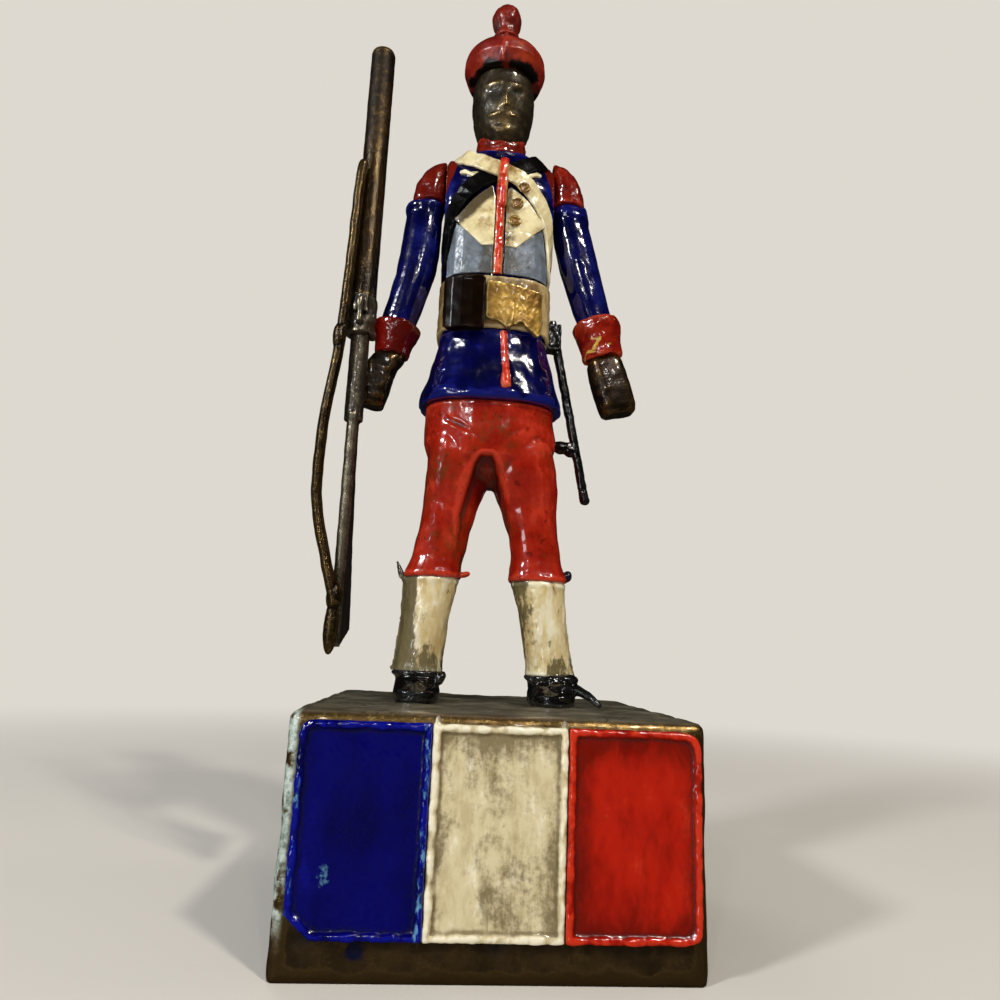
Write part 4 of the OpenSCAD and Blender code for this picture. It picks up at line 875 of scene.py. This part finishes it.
# Head
# A bare bronze head in low relief: brown-grey patina, rubbed tan on the raised middle of the face.
face_bronze, shader, place = bronze("head bronze", rgb(44, 38, 26), rgb(66, 56, 38), rgb(128, 108, 72),
                                    0.34, 1.4)
spot = place.stretched(1.3, 0.6, 1).distance((-0.0021, -0.0046, 0.1262))
tan = (1 - spot.step(0.001, 0.0042)) * place.noise(800, 4, 0.6).step(0.32, 0.56)
over(shader, tan * 0.7, rgb(140, 116, 72))
head = worked(cast("head", 0.17), 111, 0.025, 1.8, 0.008)
settle(head, "head_cast", face_bronze, "figure", "bronze", "head")


# Hat and pompom
# A soft cap with a seam ridge from the pompom to the rim, red with an orange patch and black inside
# its rim; the pompom is a pointed drop on a small foot, bare on one side.
cap_red, shader, place = enamel("cap red enamel", rgb(92, 14, 6), rgb(120, 22, 8), rgb(154, 46, 28),
                                rgb(40, 20, 12), 0.7, 0.27, scale=280)
spot = place.distance((0.0012, -0.0068, 0.1388))
warm_patch = (1 - spot.step(0.001, 0.0046)) * place.noise(520, 4).step(0.4, 0.6)
over(shader, warm_patch * 0.8, rgb(158, 50, 10))
under = 1 - (place.axis("Z") + 0.0040 * place.noise(300, 4, 0.6)).step(0.1378, 0.1384)
over(shader, under, rgb(9, 7, 5))
bare_side = place.distance((-0.0046, -0.0016, 0.1470))
bald = 1 - (bare_side + 0.002 * place.noise(700, 4)).step(0.0018, 0.0036)
over(shader, bald * 0.75, rgb(58, 50, 48))
shader.inputs["Coat Weight"].default_value = 0.15
shader.inputs["Coat Roughness"].default_value = 0.2


def tapered(obj, heights, widths):
    """Narrows a piece about the figure's middle, by a share for each height."""
    at = points(obj)[0]
    narrow = np.interp(at[:, 2], heights, widths)[:, None]
    at[:, :2] = (at[:, :2] + (ASIDE, 0)) * narrow - (ASIDE, 0)
    put(obj, at)
    return obj


hat = tapered(cast("hat", 0.18), (134, 138, 140, 142, 144, 146), (1.06, 1.06, 0.97, 0.83, 0.69, 0.58))
at, out = points(hat)
seam = near(at, [(-1.8, -1.5, 145.2), (-2.0, -5.0, 142.6), (-2.4, -7.4, 138.8), (-2.6, -7.2, 135.9)], 0.4)
dent = near(at, [(-4.6, -7.0, 136.8)], 1.1)
lift = 0.035 * waves(at, 3.4, 121) + 0.008 * waves(at, 1.3, 122) + 0.42 * seam - 0.5 * dent
lift[at[:, 2] < 135.9] *= 0.3
lift[np.hypot(at[:, 0] + ASIDE, at[:, 1]) < 5] = 0
put(hat, at + out * lift[:, None])
settle(hat, "hat_cap", cap_red, "figure", "red_enamel", "hat")

pompom = tapered(cast("pompom", 0.14), (149, 150.5, 151.8, 153, 153.6), (1, 0.97, 0.89, 0.76, 0.68))
at, out = points(pompom)
lift = 0.06 * waves(at, 2.2, 125) + 0.014 * waves(at, 0.9, 126)
lift[at[:, 2] < 145.6] = 0
put(pompom, at + out * lift[:, None])
settle(pompom, "pompom_drop", cap_red, "figure", "red_enamel", "pompom")


# Scabbard and frog
# A thin rod in a short bracket on the belt, both in black gloss, steadied by a small stay that is
# soldered to the hip.
def stay_solder(bm):
    knob(bm, (10.4, 1.5, 70.2), (1.5, 0.95, 1.1))
    knob(bm, (11.9, 1.5, 69.7), (1.2, 0.85, 1.0))


scabbard = worked(cast("scabbard", 0.12, [meshed("stay_solder", stay_solder)], 1), 131, 0.03, 2.0, 0.01)
settle(scabbard, "scabbard_rod", shoe_black, "figure", "black_enamel", "scabbard")
frog = worked(cast("scabbard_frog", 0.12, soften=1), 134, 0.03, 1.6, 0.01)
settle(frog, "scabbard_frog_block", shoe_black, "figure", "black_enamel", "scabbard_frog")


# Arms
# Each arm is a red shoulder cap, a blue sleeve, a flared red cuff and a bare bronze hand, turning as
# one on a bronze rivet through the shoulder. The left cuff carries flecks of gilt.
hand_bronze, shader, _ = bronze("hand bronze", rgb(24, 14, 3), rgb(44, 27, 9), rgb(118, 88, 46), 0.24, 0.6)
shader.inputs["Coat Weight"].default_value = 0.6
rivets = cast("shoulder_rivets", 0.12, soften=1)
at = points(rivets)[0]
rivet_end = 11.4
at[:, 0] = np.clip(at[:, 0] + ASIDE, -rivet_end, rivet_end) - ASIDE
put(rivets, at)
settle(rivets, "shoulder_rivets_set", hand_bronze, "figure", "bronze", "shoulder_rivets")
arm_red, shader, place = enamel("arm red enamel", rgb(92, 10, 4), rgb(122, 22, 8), rgb(158, 46, 26),
                                rgb(44, 10, 6), 0.75, 0.13, scale=260)
# Painted shade: the right arm's cap is darker red than the left's.
over(shader, (1 - place.axis("X").step(-0.001, 0.001)) * 0.6, rgb(74, 9, 5))
cuff_red, shader, place = enamel("cuff red enamel", rgb(108, 10, 3), rgb(140, 28, 10), rgb(172, 56, 32),
                                 rgb(50, 10, 5), 0.75, 0.12, orange=0.28)
# Painted light and shade: the right cuff is bright red on its outer side and dark red towards the body, unlike
# the left.
x = place.axis("X")
over(shader, 1 - x.step(-0.001, 0.001), x.step(-0.0212, -0.0176).blend(rgb(158, 20, 6), rgb(80, 8, 4)))
fleck = x.step(0.0, 0.002) * place.stretched(1, 1, 1.5).noise(430, 3, 0.6, 0.8).step(0.6, 0.66)
over(shader, fleck, rgb(190, 158, 70))
arms = (("right", 151, (-15.0, 0, 115.2), (0, 0.5, 0.95, 0.95, 0.65, 0.4, 0.15, 0.1)),
        ("left", 201, (11.4, 0, 116.6), (0, 0.4, 0.7, 1.0, 1.1, 1.0, 0.8, 0.5)))


def clear(at, left):
    """Keeps an arm's inner face flat, just off the torso's side."""
    if left:
        at[:, 0] = np.maximum(at[:, 0], arm_inside - ASIDE)
    else:
        at[:, 0] = np.minimum(at[:, 0], -arm_inside - ASIDE)


for side, seed, shoulder, tucks in arms:
    body, left = side + "_arm", side == "left"
    plug = meshed(side + "_plug", lambda bm: knob(bm, shoulder, (1.4, 1.35, 1.35)))
    cap = worked(cast(side + "_epaulette", 0.16, [plug]), seed, 0.05, 2.6, 0.012)
    at = points(cap)[0]
    outward = np.abs(at[:, 0] + ASIDE) - 9.1
    at[:, 2] -= 0.42 * np.clip(outward, 0, 6) * eased(at[:, 2] - 112.4, 6)
    at[:, 2] -= 0.24 * np.clip(outward, 0, 5) * eased(116 - at[:, 2], 3)
    clear(at, left)
    put(cap, at)
    settle(cap, side + "_epaulette_cap", arm_red, body, "red_enamel", side + "_epaulette")
    sleeve = worked(cast(side + "_sleeve", 0.2), seed + 3, 0.022, 3.8, 0.004)
    at, out = points(sleeve)
    outward = np.abs(at[:, 0] + ASIDE) - 9.1
    at += out * (0.2 * np.exp(-((at[:, 2] - 111.4) / 0.8) ** 2))[:, None]
    at[:, 2] -= 0.24 * np.clip(outward, 0, 5) * eased(at[:, 2] - 105, 7)
    tuck = np.interp(at[:, 2], (91, 94, 98, 102, 106, 108, 110, 113), tucks)
    at[:, 0] += -tuck if left else tuck
    if not left:
        at += eased(96 - at[:, 2], 5)[:, None] * (-0.25, 0, -1.4)
    clear(at, left)
    put(sleeve, at)
    settle(sleeve, side + "_sleeve_cast", coat_blue, body, "blue_enamel", side + "_sleeve")
    cuff = worked(cast(side + "_cuff", 0.16), seed + 6, 0.06, 2.6, 0.01)
    if not left:
        at = points(cuff)[0]
        share = (at[:, 2] - at[:, 2].min()) / np.ptp(at[:, 2])
        levels = np.linspace(0, 1, 9)
        axis = np.array([at[np.abs(share - level) < 0.1, :2].mean(0) for level in levels])
        centre = np.stack([np.interp(share, levels, axis[:, i]) for i in (0, 1)], 1)
        at[:, :2] = centre + (at[:, :2] - centre) * (0.84 + 0.16 * share)[:, None]
        at += share[:, None] * (-0.25, 0, -1.5)
        put(cuff, at)
    settle(cuff, side + "_cuff_cast", cuff_red, body, "red_enamel", side + "_cuff")
    hand = worked(cast(side + "_hand", 0.16), seed + 9, 0.015 if left else 0.05, 2.2, 0.006)
    settle(hand, side + "_hand_cast", hand_bronze, body, "bronze", side + "_hand")


# Rifle
# Four bare bronze castings: barrel with its fore-end, lock, stock with its butt plate, and a stiff
# sling strip with lumps where it was soldered on.
gun_bronze, shader, place = bronze("rifle bronze", rgb(24, 15, 4), rgb(46, 31, 11), rgb(112, 90, 52),
                                   0.14, 3.2, (1, 1, 0.25))
shader.inputs["Coat Weight"].default_value = 0.0
feed(shader, "Roughness", fed(shader, "Roughness") + 0.3 * place.axis("Z").step(0.114, 0.124))
steel_grey = bronze("butt bronze", rgb(42, 34, 22), rgb(68, 60, 46), rgb(136, 126, 106), 0.34, 1.4,
                    (1, 1, 0.3))[0]
for name, material, voxel, soften, lumps in (("rifle_barrel", gun_bronze, 0.18, 1, 0.014),
                                             ("rifle_lock", steel_grey, 0.14, 4, 0.09),
                                             ("rifle_stock", steel_grey, 0.15, 1, 0.02)):
    casting = worked(cast(name, voxel, soften=soften), 171 + len(name), lumps, 3.4, 0.005)
    settle(casting, name + "_cast", material, "right_arm", "bronze", name)


def solder(bm):
    knob(bm, (-26.2, -5.7, 84.0), (1.0, 0.95, 2.4))
    knob(bm, (-23.6, -5.4, 43.6), (1.15, 1.1, 2.2))
    knob(bm, (-23.7, -5.3, 39.2), (1.1, 1.0, 4.0), 0.02)


sling = cast("rifle_sling", 0.14, [meshed("solder", solder)], 1)
at, out = points(sling)
lift = 0.02 * waves(at, 3.6, 181) + 0.005 * waves(at, 1.1, 182)
put(sling, at + out * lift[:, None])
settle(sling, "rifle_sling_strip", gun_bronze, "right_arm", "bronze", "rifle_sling")
